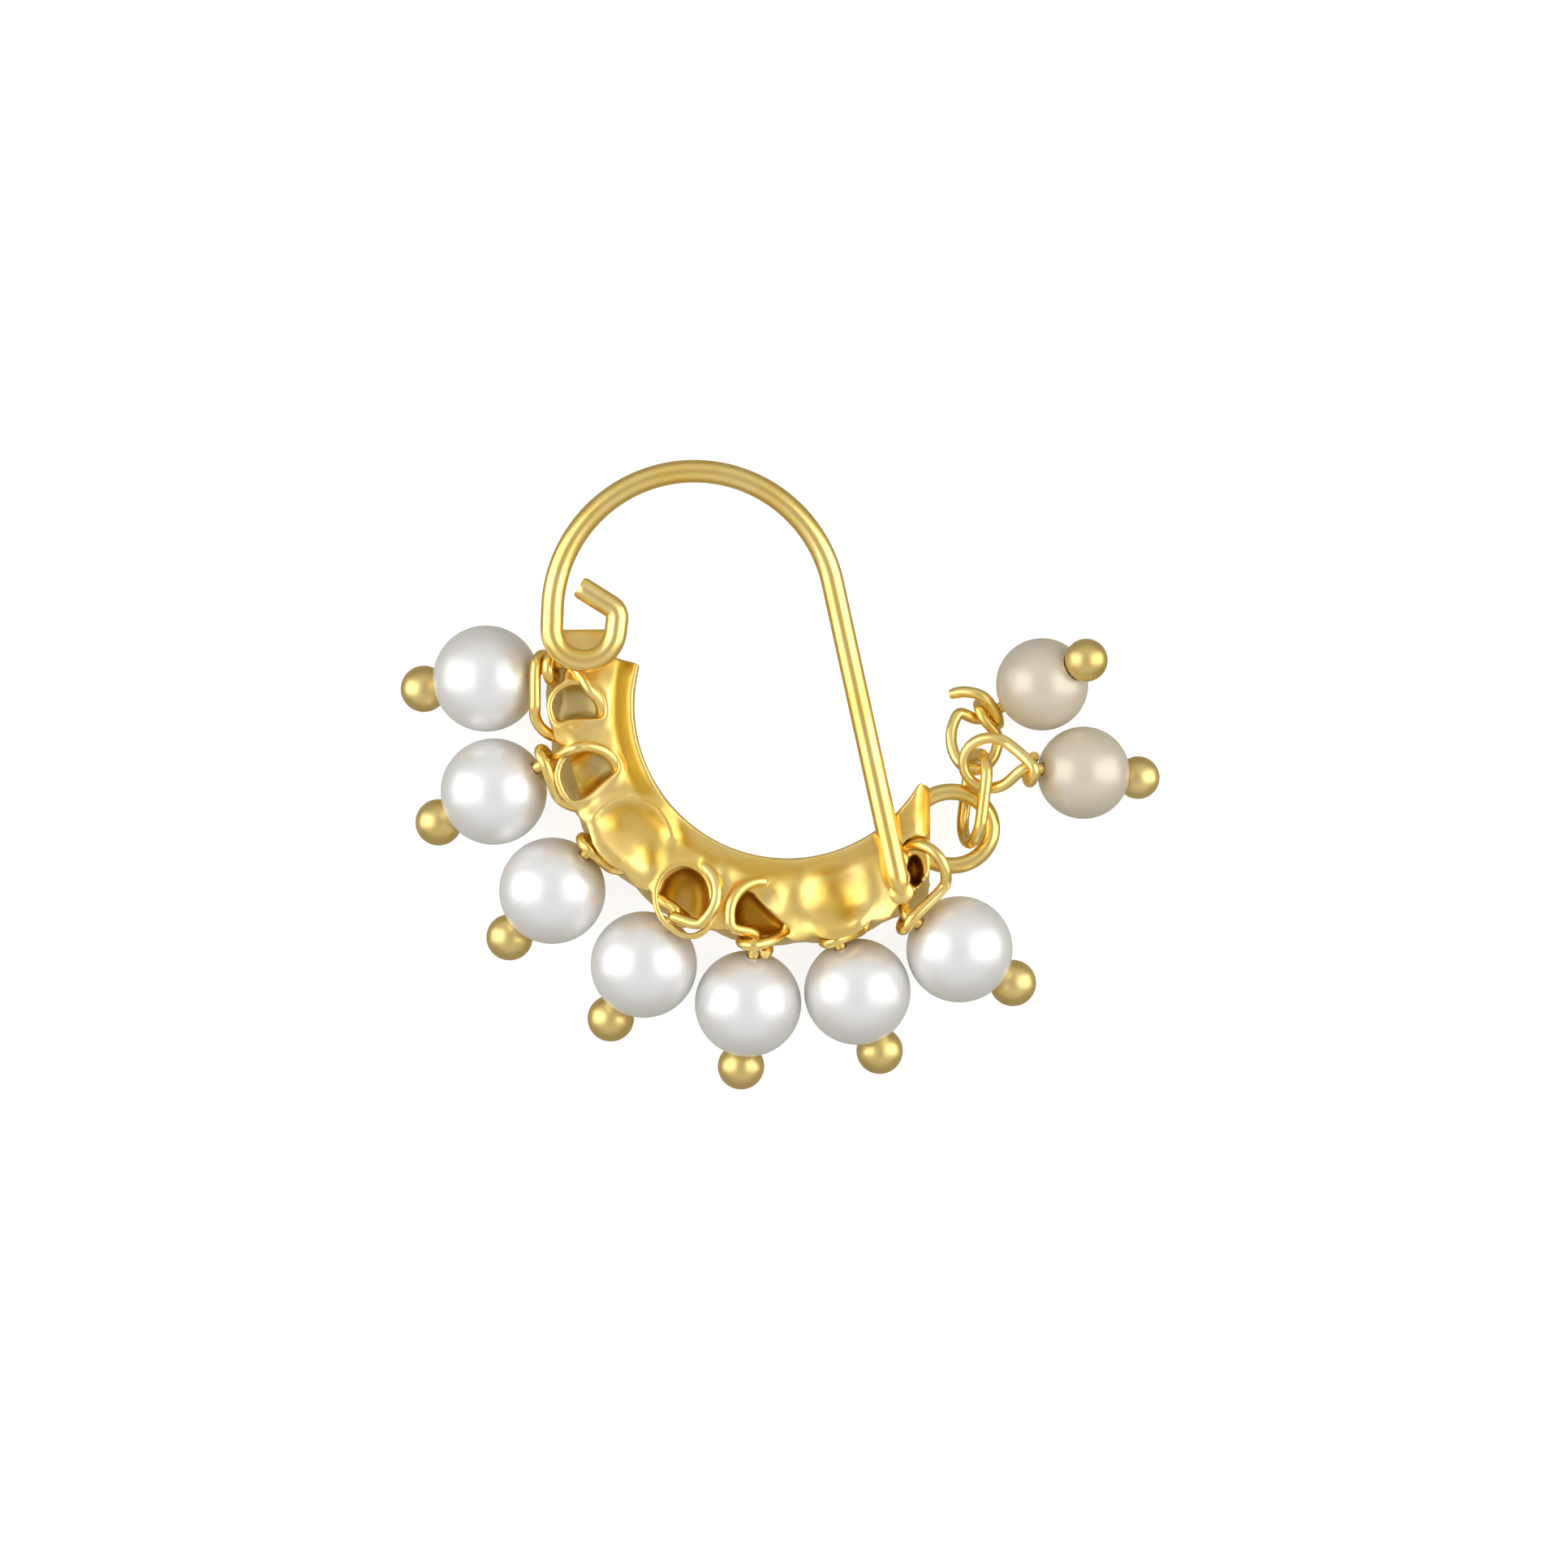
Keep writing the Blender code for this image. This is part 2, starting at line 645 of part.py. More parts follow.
def ring_centre():
    angle = station_angle(RING_STATION)
    edge = polar(end_limit(angle), angle)
    inset = RING_BRIDGE + HOLE_CLEARANCE + RING_WIRE / 2
    return Vector((HORN_REACH - inset + RING_REACH, edge.y, RING_HEIGHT))


def ring_path():
    path = []
    for i in range(16):
        turn = TURN * i / 16
        path.append(ring_centre() + Vector((RING_REACH * math.cos(turn), RING_WIDTH * math.sin(turn), 0)))
    return path


def link_centre():
    turn = math.radians(LINK_BEARING)
    place = ring_centre() + Vector((RING_REACH * math.cos(turn), RING_WIDTH * math.sin(turn), 0))
    place.z = LINK_HEIGHT
    return place


def link_path():
    """Two straight sides and two round ends, leaned on edge round its long axis."""
    along = polar(1, LINK_HEADING)
    lean = math.radians(LINK_LEAN)
    across = polar(math.cos(lean), LINK_HEADING - 90, math.sin(lean))
    radius = (LINK_WIDTH - LINK_WIRE) / 2
    half = (LINK_LENGTH - LINK_WIRE) / 2 - radius
    path = []
    for end in (1, -1):
        for i in range(7):
            turn = math.pi * i / 6
            place = along * (half + radius * math.sin(turn)) + across * radius * math.cos(turn)
            path.append(link_centre() + end * place)
    return path


# Places are in the link's frame, as shares of LINK_LENGTH: along the link and to its right.
# bearing and lift turn the pin outwards from the loop, neck_bearing is from the loop's centre.
END_DROPS = [
    dict(number=8, along=0.596, right=0.0, height=1.08, reach=1.04, width=0.76, reach_bearing=270,
         reach_lift=0.33, width_lift=0.0, neck_bearing=45.7, neck_length=1.614, bearing=28.9,
         lift=36.0, neck_lift=0.0, sense=-1, opening=1.0, rise=1.1, foot=0.98, turns=0.95, climb=-1,
         tail=((0.27, 1.34, 0.25), (-0.33, 1.50, 0.15), (-0.78, 1.42, 0.0))),
    dict(number=9, along=0.35, right=0.152, height=2.05, reach=0.87, width=0.815, reach_bearing=180,
         reach_lift=-0.2, width_lift=0.2, neck_bearing=-6.9, neck_length=1.672, bearing=-5.0,
         lift=-23.6, neck_lift=23.6, sense=1, opening=0.9, rise=0.55, foot=0.5, turns=0.7, climb=-1,
         tail=()),
]


def end_drop_layout(drop):
    centre = link_centre() + Vector((drop["right"], drop["along"], 0)) * LINK_LENGTH
    centre.z = drop["height"] * MM
    radius = SMALL_PEARL_DIAMETER / 2
    lift = math.radians(drop["lift"])
    outward = polar(math.cos(lift), drop["bearing"], math.sin(lift))
    pole = centre + polar(drop["neck_length"] * MM, drop["neck_bearing"])
    pole.z = radius - outward.z * radius
    reach = polar(drop["reach"] * MM, drop["reach_bearing"], drop["reach_lift"] * MM)
    width = polar(drop["width"] * MM, drop["reach_bearing"] - 90, drop["width_lift"] * MM)
    neck_lift = math.radians(drop["neck_lift"])
    neck = polar(math.cos(neck_lift), drop["bearing"] + 180, math.sin(neck_lift))
    return pole, outward, neck, centre, reach, width


def add_end_drops(gold, cream):
    for drop in END_DROPS:
        pole, outward, neck, centre, reach, width = end_drop_layout(drop)
        pearl_place = pole + outward * SMALL_PEARL_DIAMETER / 2
        ball_place = pearl_place + outward * ball_distance(SMALL_PEARL_DIAMETER, SMALL_BALL_DIAMETER)
        add_pearl(f"pearl_{drop['number']}", SMALL_PEARL_DIAMETER, pearl_place, outward, cream)
        path = loop_path(pole, neck, centre, reach, width, drop["sense"], drop["opening"],
                         drop["rise"] * RISE_UNIT, drop["foot"] * RISE_UNIT, drop["turns"], drop["climb"])
        path += [centre + Vector(place) * MM for place in drop["tail"]]
        add_pin(f"head_pin_{drop['number']}", SMALL_BALL_DIAMETER, ball_place, -outward,
                smooth_path(path, PIN_STEP), gold)


def stand_on_origin():
    """Move the finished object so that its box stands centred on the origin."""
    bpy.context.view_layer.update()
    corners = []
    graph = bpy.context.evaluated_depsgraph_get()
    for item in bpy.context.scene.objects:
        if item.hide_render:
            continue
        shape = item.evaluated_get(graph).to_mesh()
        corners += [item.matrix_world @ vertex.co for vertex in shape.vertices]
    low = Vector([min(corner[i] for corner in corners) for i in range(3)])
    high = Vector([max(corner[i] for corner in corners) for i in range(3)])
    shift = Vector((-(low.x + high.x) / 2, -(low.y + high.y) / 2, -low.z))
    for item in bpy.context.scene.objects:
        item.location += shift


def main():
    clear_scene()
    gold = finish("gold", (0.83, 0.56, 0.17), 0.25, 1.0)
    white = finish("pearl_white", (0.85, 0.84, 0.83), 0.25, 0.0)
    cream = finish("pearl_cream", (0.78, 0.74, 0.66), 0.25, 0.0)
    add_crescent(gold)
    add_drops(gold, white)
    add_object("end_jump_ring", *hoop(ring_path(), RING_WIRE / 2, WIRE_SIDES), gold)
    add_object("chain_link", *hoop(link_path(), LINK_WIRE / 2, WIRE_SIDES), gold)
    add_end_drops(gold, cream)
    stand_on_origin()


main()
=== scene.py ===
"""Looks of the nose pin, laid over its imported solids.

The pin lies on its front on a white table and is seen from straight above. Places are in
millimetres round the crescent's centre until a mesh is made, and in metres after that.
"""

import math

import bmesh
import bpy
import numpy as np
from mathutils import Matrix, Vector, kdtree, noise


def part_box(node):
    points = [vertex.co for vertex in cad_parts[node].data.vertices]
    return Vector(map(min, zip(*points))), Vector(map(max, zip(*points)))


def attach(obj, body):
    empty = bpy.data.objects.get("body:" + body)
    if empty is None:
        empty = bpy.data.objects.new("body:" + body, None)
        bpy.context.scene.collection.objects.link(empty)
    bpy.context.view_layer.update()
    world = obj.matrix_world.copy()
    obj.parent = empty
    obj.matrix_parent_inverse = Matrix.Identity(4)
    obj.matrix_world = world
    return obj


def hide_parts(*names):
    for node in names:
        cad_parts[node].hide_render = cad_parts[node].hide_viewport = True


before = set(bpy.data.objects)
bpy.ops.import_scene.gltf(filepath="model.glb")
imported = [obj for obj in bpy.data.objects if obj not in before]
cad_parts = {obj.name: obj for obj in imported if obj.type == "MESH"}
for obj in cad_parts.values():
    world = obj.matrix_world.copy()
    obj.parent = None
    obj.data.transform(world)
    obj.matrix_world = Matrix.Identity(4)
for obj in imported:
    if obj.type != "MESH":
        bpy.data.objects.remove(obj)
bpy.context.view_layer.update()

# The crescent: one casting in gold-plated brass, with open cups for the pins, two closed
# dishes, a flat pad under the hook's curl and a horn at the right end. It was tumbled after
# casting, so its edges are soft and its skin is a little wavy.
MM = 0.001
TURN = 2 * math.pi
UP = Vector((0, 0, 1))
RING_MIDDLE = Vector((5.324, -4.0034, 1.3))
STATION_PITCH = 21.6777
MIDDLE_STATION = 4
MIDDLE_ANGLE = 240.4
INNER_RADIUS = 4.97
BACK_HEIGHT = 3.1
RIM_WIRE = 0.13
HOOK_WIRE = 0.74

# The skin: remeshing step, smoothing passes over all of it and over its free back, and the
# height and fineness of the waves left by casting.
SKIN_STEP = 0.065
SKIN_SMOOTHING = 4
BACK_SMOOTHING = 110
BACK_EASE = 0.6
LAST_SMOOTHING = 5
LAST_EASE = 0.5
MASK_PASSES = 3
CAST_WAVE = 0.022
WAVE_FINENESS = 0.7
CAST_GRAIN = 0.003
GRAIN_FINENESS = 4.0

# How far painted shade darkens the gold in a small hollow, low in a cup, in the channel and on the horn, and
# how strongly the flap takes the painted olive reflection.
HOLLOW_PASSES = 24
SHADE_AND_DULL_PASSES = 2
HOLLOW_FULL = 0.035
HOLLOW_SHADE = 0.75
CUP_SHADE = 0.27
CHANNEL_SHADE = 0.95
HORN_SHADE = 1.5
FLAP_DULL_REFLECTION = 0.6
BUMP_REACH = 0.05 * MM
SHARP_EDGE = math.radians(50)
# Gold tones: the deep one is painted shade, and the olive one is a painted reflection of the grey room.
GOLD_PALE = (1.0, 0.79, 0.33, 1)
GOLD_WARM = (0.97, 0.67, 0.15, 1)
GOLD_PAINTED_SHADE = (0.70, 0.41, 0.045, 1)
PAINTED_OLIVE_REFLECTION = (0.70, 0.60, 0.30, 1)

# The mouths of the open cups, each as places round its edge, with the height of its floor.
CUPS = {
    1: (2.3, ((-7.62, -0.05), (-7.4, 0.45), (-6.84, 0.69), (-6.15, 0.5), (-5.87, -0.05), (-6.0, -0.5),
              (-6.9, -0.48), (-7.4, -0.62))),
    2: (2.1, ((-6.4, -1.34), (-5.66, -1.6), (-5.42, -2.08), (-5.92, -2.53), (-6.53, -3.05), (-7.03, -3.05),
              (-7.37, -2.32), (-7.1, -1.66))),
    4: (0.9, ((-3.29, -5.18), (-2.68, -5.55), (-2.47, -6.34), (-2.68, -7.21), (-3.29, -7.4), (-4.0, -6.87),
              (-4.21, -6.08), (-3.9, -5.42))),
    5: (0.9, ((-1.26, -6.0), (-0.92, -6.29), (-0.4, -6.82), (0.13, -7.34), (-0.53, -7.55), (-1.58, -7.4),
              (-1.76, -6.82), (-1.63, -6.21))),
    7: (0.6, ((4.15, -4.82), (4.36, -5.16), (4.36, -5.6), (4.22, -5.87), (3.95, -5.76), (3.87, -5.34),
              (3.95, -4.97))),
}
RIMMED_CUPS = (1, 2, 4)
DISH_RIDGE = ((-6.3, -3.62), (-5.95, -3.28), (-5.55, -3.05), (-5.13, -2.95), (-4.6, -3.08), (-4.16, -3.42),
              (-3.85, -3.85), (-3.7, -4.25))
RIDGE_REACH = 0.2
RIDGE_RISE = 0.17
CLOSED_DISHES = (3, 6)
# Places where the gold is rougher and turns olive as a painted reflection of the grey room: two cup floors
# and the flap beside cup 5, each as place and reach.
DULL_REFLECTION_FLOORS = ((-6.75, 0.1, 0.95), (-6.0, -1.85, 0.62))
DULL_REFLECTION_FLAP = (-0.55, -6.3, 0.42)
WELL_MOUTH = ((4.2, 1.0), (2.6, 0.98))
WELL_FOOT = ((0.5, 0.9), (0.15, 0.75), (0.0, 0.45))

# The filler between the cups: the stations it spans, how far it sinks at the closed dishes,
# and its section as radius and height.
FILLER_START = 0.6
FILLER_SPAN = 6.55
FILLER_SINK = 0.16
FILLER_SECTION = ((5.1, 0.15), (7.5, 0.15), (7.22, 2.0))

# The hook's middle line from its soldered foot: straight pieces as length, and bends as
# radius and sweep. It climbs from the crescent's back to the gap over the pad.
HOOK_FOOT = (3.6671, -6.0797, 0)
HOOK_HEADING = 102.4
HOOK_BENDS = (
    (10.26, 0, 0),
    (0, 4.57, 165.6),
    (0.64, 0, 0),
    (0, 1.03, 175),
    (0.45, 0, 0),
    (0, 0.42, 65),
    (1.22, 0, 0),
)
HOOK_SINK = 0.12
HOOK_CLIMB = 14.83
PAD_STEP = 0.15
CURL_GAP = 0.45

# Soft swellings and dips of the back: place, reach and rise.
DOMES = (
    (-4.85, -4.4, 0.75, 0.1),
    (-4.4, -4.95, 0.4, -0.14),
    (-5.7, -3.9, 0.4, -0.08),
    (2.32, -6.9, 0.35, 0.12),
    (1.95, -6.6, 0.4, -0.12),
    (1.45, -5.9, 0.7, -0.14),
    (0.3, -6.0, 0.6, 0.1),
    (2.7, -5.5, 0.6, 0.1),
    (3.2, -4.6, 0.5, 0.06),
    (-0.5, -6.2, 0.3, -0.12),
    (-2.0, -5.5, 0.35, 0.1),
    (-6.9, -0.95, 0.5, 0.08),
)
CHANNEL_INNER = 0.12
CHANNEL_OUTER = 0.74
CHANNEL_DEPTH = 0.05
HORN_FOLD = 4.22
HORN_SLOPE = 0.75

low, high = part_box("end_jump_ring")
CENTRE = (low + high) / 2 / MM - RING_MIDDLE


class Tone:
    """A number, colour or direction on its way through the nodes of a material."""

    def __init__(self, tree, socket=None):
        self.tree = tree
        self.socket = socket

    def node(self, kind, settings=None, sockets=None, output=0):
        made = self.tree.nodes.new(kind)
        for name, value in (settings or {}).items():
            if name == "stops":
                ramp = made.color_ramp
                while len(ramp.elements) < len(value):
                    ramp.elements.new(0.5)
                for element, (place, colour) in zip(ramp.elements, value):
                    element.position = place
                    element.color = colour
            else:
                setattr(made, name, value)
        for name, value in (sockets or {}).items():
            if isinstance(value, Tone):
                self.tree.links.new(value.socket, made.inputs[name])
            else:
                made.inputs[name].default_value = value
        return Tone(self.tree, made.outputs[output])

    def math(self, operation, first, second=0.0, clamp=False):
        settings = {"operation": operation, "use_clamp": clamp}
        return self.node("ShaderNodeMath", settings, {0: first, 1: second})

    def __add__(self, other):
        return self.math("ADD", self, other)

    def __sub__(self, other):
        return self.math("SUBTRACT", self, other)

    def __mul__(self, other):
        return self.math("MULTIPLY", self, other)

    __radd__ = __add__

    def clamped(self):
        return self.math("ADD", self, 0.0, clamp=True)

    def between(self, first, second):
        """The colour this far from the first to the second."""
        settings = {"data_type": "RGBA"}
        return self.node("ShaderNodeMix", settings, {0: self.clamped(), 6: first, 7: second}, 2)

    def speckle(self, scale, detail=3.0):
        """Even noise from 0 to 1, over the piece's own space."""
        where = self.node("ShaderNodeTexCoord", output="Object")
        sockets = {"Vector": where, "Scale": scale, "Detail": detail}
        return self.node("ShaderNodeTexNoise", {}, sockets)


def finish(name, colour, roughness, bump, height, metallic=0.0, **constants):
    """A material from links for its colour, roughness and height, and constants for the rest."""
    material = bpy.data.materials.new(name)
    material.use_nodes = True
    shader = material.node_tree.nodes["Principled BSDF"]
    start = Tone(material.node_tree)
    links = {"Base Color": colour(start), "Roughness": roughness(start)}
    sockets = {"Height": height(start), "Strength": bump, "Distance": BUMP_REACH}
    links["Normal"] = start.node("ShaderNodeBump", {}, sockets)
    for socket, tone in links.items():
        material.node_tree.links.new(tone.socket, shader.inputs[socket])
    shader.inputs["Metallic"].default_value = metallic
    for socket, value in constants.items():
        shader.inputs[socket.replace("_", " ")].default_value = value
    return material


def stored(start, name):
    """A value kept on the mesh's points."""
    return start.node("ShaderNodeAttribute", {"attribute_name": name}, output="Fac")


def cast_colour(start):
    # The gold darkens to a painted shade colour in small hollows, low in the cups, in the channel and on the
    # horn.
    cloud = start.speckle(700)
    skin = (cloud * 2.2 - 0.6).between(GOLD_WARM, GOLD_PALE)
    shaded_gold = (stored(start, "cavity") * 1.1 + cloud * 0.24 - 0.03).between(skin, GOLD_PAINTED_SHADE)
    # On the dull places the gold turns olive, a painted reflection of the grey room.
    return stored(start, "dull").between(shaded_gold, PAINTED_OLIVE_REFLECTION)


def cast_roughness(start):
    return 0.32 + stored(start, "cavity") * 0.1 + start.speckle(2600) * 0.08 + stored(start, "dull") * 0.15


def cast_height(start):
    return start.speckle(2200, 4.0)


cast_gold = finish("cast_gold", cast_colour, cast_roughness, 0.12, cast_height, 1.0)


def polar(radius, angle, height=0.0):
    turn = math.radians(angle)
    return Vector((radius * math.cos(turn), radius * math.sin(turn), height))


def blend(start, end, share):
    share = min(1.0, max(0.0, share))
    share = share * share * (3 - 2 * share)
    return start + (end - start) * share


def soft_step(share):
    share = np.clip(share, 0.0, 1.0)
    return share * share * (3 - 2 * share)


def station_angle(station):
    return MIDDLE_ANGLE + (station - MIDDLE_STATION) * STATION_PITCH


def add_piece(name, points, faces, material, slot, nodes=()):
    """A piece of the pin from points in millimetres round the crescent's centre."""
    mesh = bpy.data.meshes.new(name)
    mesh.from_pydata([tuple((Vector(point) + CENTRE) * MM) for point in points], [], faces)
    shape = bmesh.new()
    shape.from_mesh(mesh)
    bmesh.ops.recalc_face_normals(shape, faces=shape.faces)
    shape.to_mesh(mesh)
    shape.free()
    mesh.shade_smooth()
    mesh.set_sharp_from_angle(angle=SHARP_EDGE)
    piece = bpy.data.objects.new(name, mesh)
    piece.data.materials.append(material)
    bpy.context.scene.collection.objects.link(piece)
    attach(piece, "root")
    for node in nodes:
        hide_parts(node)
    return piece


def frames_along(path, closed=False):
    """A pair of cross directions at each point of a path, carried along without twist."""
    count = len(path)
    tangents = []
    for i in range(count):
        before = path[i - 1] if i or closed else path[0]
        after = path[(i + 1) % count] if i < count - 1 or closed else path[-1]
        tangents.append((after - before).normalized())
    side = tangents[0].orthogonal().normalized()
    frames = []
    for tangent in tangents:
        side = (side - tangent * side.dot(tangent)).normalized()
        frames.append((side, tangent.cross(side)))
    return frames


def wire_mesh(path, radii, sides, closed=False):
    """Points and faces of a round wire along a path, with flat ends unless it is closed."""
    points, faces = [], []
    for place, (a, b), radius in zip(path, frames_along(path, closed), radii):
        for i in range(sides):
            turn = TURN * i / sides
            points.append(place + radius * (a * math.cos(turn) + b * math.sin(turn)))
    rings = len(path)
    for j in range(rings if closed else rings - 1):
        n = (j + 1) % rings
        for i in range(sides):
            k = (i + 1) % sides
            faces.append((j * sides + i, j * sides + k, n * sides + k, n * sides + i))
    if not closed:
        faces.append(tuple(range(sides - 1, -1, -1)))
        faces.append(tuple(range((rings - 1) * sides, rings * sides)))
    return points, faces


def hook_path(step):
    """The hook's middle line from the soldered end: straight run, bow, curl and its tail."""
    path = [Vector(HOOK_FOOT)]
    heading = HOOK_HEADING
    for length, radius, sweep in HOOK_BENDS:
        if radius:
            length = math.radians(sweep) * radius
        pieces = max(2, round(length / step))
        for _ in range(pieces):
            if radius:
                middle = path[-1] + polar(radius, heading + 90)
                heading += sweep / pieces
                path.append(middle + polar(radius, heading - 90))
            else:
                path.append(path[-1] + polar(length / pieces, heading))
    lengths = [0.0]
    for before, after in zip(path, path[1:]):
        lengths.append(lengths[-1] + (after - before).length)
    low = BACK_HEIGHT + HOOK_WIRE / 2 - HOOK_SINK
    high = BACK_HEIGHT - PAD_STEP + CURL_GAP + HOOK_WIRE / 2
    return [place + UP * blend(low, high, length / HOOK_CLIMB) for place, length in zip(path, lengths)]


def round_outline(corners, count):
    """Places round a closed smooth curve through the corners."""
    places = []
    total = len(corners)
    for i in range(total):
        p0, p1, p2, p3 = (Vector(corners[(i + k) % total]) for k in (-1, 0, 1, 2))
        for j in range(count):
            u = j / count
            places.append(0.5 * (2 * p1 + (p2 - p0) * u + (2 * p0 - 5 * p1 + 4 * p2 - p3) * u**2
                                 + (3 * p1 - p0 - 3 * p2 + p3) * u**3))
    return places


def well_mesh(floor, corners):
    """The hollow of one cup: straight at the mouth, rounded to its floor."""
    mouth = round_outline(corners, 4)
    middle = sum(mouth, Vector((0, 0))) / len(mouth)
    points, faces = [], []
    for height, share in WELL_MOUTH + tuple((floor + rise, share) for rise, share in WELL_FOOT):
        points += [(*(middle + (place - middle) * share), height) for place in mouth]
    count = len(mouth)
    for j in range(4):
        for i in range(count):
            k = (i + 1) % count
            faces.append((j * count + i, j * count + k, (j + 1) * count + k, (j + 1) * count + i))
    faces.append(tuple(range(count)))
    faces.append(tuple(range(4 * count, 5 * count)))
    return points, faces


def filler_mesh():
    """The metal between the cups: an arc that ends short of both ends of the crescent."""
    points, faces = [], []
    columns = 40
    for i in range(columns + 1):
        station = FILLER_START + FILLER_SPAN * i / columns
        sunk = max(blend(1.0, 0.0, (abs(station - closed) - 0.25) / 0.4) for closed in CLOSED_DISHES)
        top = BACK_HEIGHT - 0.04 - FILLER_SINK * sunk
        section = FILLER_SECTION + ((7.22, top), (5.95, top), (5.1, 2.9))
        points += [polar(radius, station_angle(station), height) for radius, height in section]
    for i in range(columns):
        for j in range(6):
            k = (j + 1) % 6
            faces.append((i * 6 + j, i * 6 + k, i * 6 + 6 + k, i * 6 + 6 + j))
    faces.append(tuple(range(6)))
    faces.append(tuple(range(columns * 6, columns * 6 + 6)))
    return points, faces


def plain_item(name, parts):
    """A loose item in millimetres from one or more sets of points and faces."""
    points, faces = [], []
    for more, their_faces in parts:
        faces += [tuple(index + len(points) for index in face) for face in their_faces]
        points += [tuple(point) for point in more]
    mesh = bpy.data.meshes.new(name)
    mesh.from_pydata(points, [], faces)
    shape = bmesh.new()
    shape.from_mesh(mesh)
    bmesh.ops.recalc_face_normals(shape, faces=shape.faces)
    shape.to_mesh(mesh)
    shape.free()
    item = bpy.data.objects.new(name, mesh)
    bpy.context.scene.collection.objects.link(item)
    return item


def worked(item):
    """The item's mesh with its modifiers done."""
    bpy.context.view_layer.update()
    graph = bpy.context.evaluated_depsgraph_get()
    return bpy.data.meshes.new_from_object(item.evaluated_get(graph))


def raised_lines():
    """The rims round the cups, as wires half sunk in the back."""
    lines = []
    for number in RIMMED_CUPS:
        outline = round_outline(CUPS[number][1], 5)
        middle = sum(outline, Vector((0, 0))) / len(outline)
        path = []
        for place in outline:
            out = (place - middle).normalized() * 0.06
            path.append(Vector((*(place + out), BACK_HEIGHT + 0.02)))
        lines.append(wire_mesh(path, [RIM_WIRE] * len(path), 10, True))
    return lines


def distance_to(lines, places):
    """How far each place is from the nearest point of the raised lines, seen from above."""
    spots = [(point[0], point[1], 0) for points, faces in lines for point in points]
    tree = kdtree.KDTree(len(spots))
    for i, spot in enumerate(spots):
        tree.insert(spot, i)
    tree.balance()
    return np.array([tree.find((place[0], place[1], 0))[2] for place in places])


def casting_blank():
    """The crescent's solid without its hook, in millimetres, with full cups and an even skin."""
    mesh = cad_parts["crescent_with_nose_wire"].data.copy()
    places = np.zeros(len(mesh.vertices) * 3)
    mesh.vertices.foreach_get("co", places)
    mesh.vertices.foreach_set("co", (places.reshape(-1, 3) / MM - np.array(CENTRE)).ravel())
    blank = bpy.data.objects.new("casting_blank", mesh)
    bpy.context.scene.collection.objects.link(blank)
    path = hook_path(0.4)
    hook = plain_item("hook_cutter", [wire_mesh(path, [HOOK_WIRE / 2 + 0.03] * len(path), 16)])
    filler = plain_item("filler", [filler_mesh()])
    wells = plain_item("wells", [well_mesh(*cup) for cup in CUPS.values()])
    for tool, operation in ((hook, "DIFFERENCE"), (filler, "UNION"), (wells, "DIFFERENCE")):
        step = blank.modifiers.new(tool.name, "BOOLEAN")
        step.operation = operation
        step.object = tool
        step.solver = "EXACT"
        step.use_self = True
    raised = plain_item("raised_lines", raised_lines())
    whole = bmesh.new()
    whole.from_mesh(worked(blank))
    whole.from_mesh(raised.data)
    joined = bpy.data.meshes.new("casting_joined")
    whole.to_mesh(joined)
    whole.free()
    body = bpy.data.objects.new("casting_joined", joined)
    bpy.context.scene.collection.objects.link(body)
    skin = body.modifiers.new("skin", "REMESH")
    skin.mode = "VOXEL"
    skin.voxel_size = SKIN_STEP
    tumble = body.modifiers.new("tumble", "SMOOTH")
    tumble.factor = 0.5
    tumble.iterations = SKIN_SMOOTHING
    done = worked(body)
    for item in (blank, hook, filler, wells, raised, body):
        bpy.data.objects.remove(item)
    return done


def neighbour_mean(values, edges, count):
    total = np.zeros_like(values)
    for column in range(values.shape[1]):
        total[:, column] = np.bincount(edges[:, 0], values[edges[:, 1], column], len(values))
        total[:, column] += np.bincount(edges[:, 1], values[edges[:, 0], column], len(values))
    return total / count[:, None]


casting = casting_blank()
size = len(casting.vertices)
places = np.zeros(size * 3)
normals = np.zeros(size * 3)
edges = np.zeros(len(casting.edges) * 2, dtype=np.int64)
casting.vertices.foreach_get("co", places)
casting.vertices.foreach_get("normal", normals)
casting.edges.foreach_get("vertices", edges)
places = places.reshape(-1, 3)
normals = normals.reshape(-1, 3)
edges = edges.reshape(-1, 2)
degree = np.maximum(1, np.bincount(edges.ravel(), minlength=size))

radius = np.hypot(places[:, 0], places[:, 1])
bearing = np.degrees(np.arctan2(places[:, 1], places[:, 0])) % 360
station = MIDDLE_STATION + (bearing - MIDDLE_ANGLE) / STATION_PITCH
back = soft_step((places[:, 2] - 2.5) / 0.4) * soft_step((normals[:, 2] - 0.3) / 0.4)
for _ in range(MASK_PASSES):
    back = neighbour_mean(back[:, None], edges, degree)[:, 0]
free = back * soft_step((distance_to(raised_lines(), places) - 0.04) / 0.1)
for _ in range(BACK_SMOOTHING):
    level = neighbour_mean(places[:, 2:], edges, degree)
    places[:, 2:] += (level - places[:, 2:]) * BACK_EASE * free[:, None]

wave = np.array([noise.noise(Vector(place) * WAVE_FINENESS) for place in places])
grain = np.array([noise.noise(Vector(place) * GRAIN_FINENESS) for place in places])
skin = np.clip((places[:, 2] - 0.3) / 0.6, 0, 1)
places += normals * ((wave * CAST_WAVE + grain * CAST_GRAIN) * skin)[:, None]
for x, y, reach, rise in DOMES:
    spread = ((places[:, 0] - x) ** 2 + (places[:, 1] - y) ** 2) / reach**2
    places[:, 2] += rise * np.exp(-spread) * back
ridge = np.full(size, 9.0)
for start, end in zip(DISH_RIDGE, DISH_RIDGE[1:]):
    run = np.subtract(end, start)
    share = np.clip((places[:, :2] - start) @ run / (run @ run), 0, 1)
    ridge = np.minimum(ridge, np.linalg.norm(places[:, :2] - start - share[:, None] * run, axis=1))
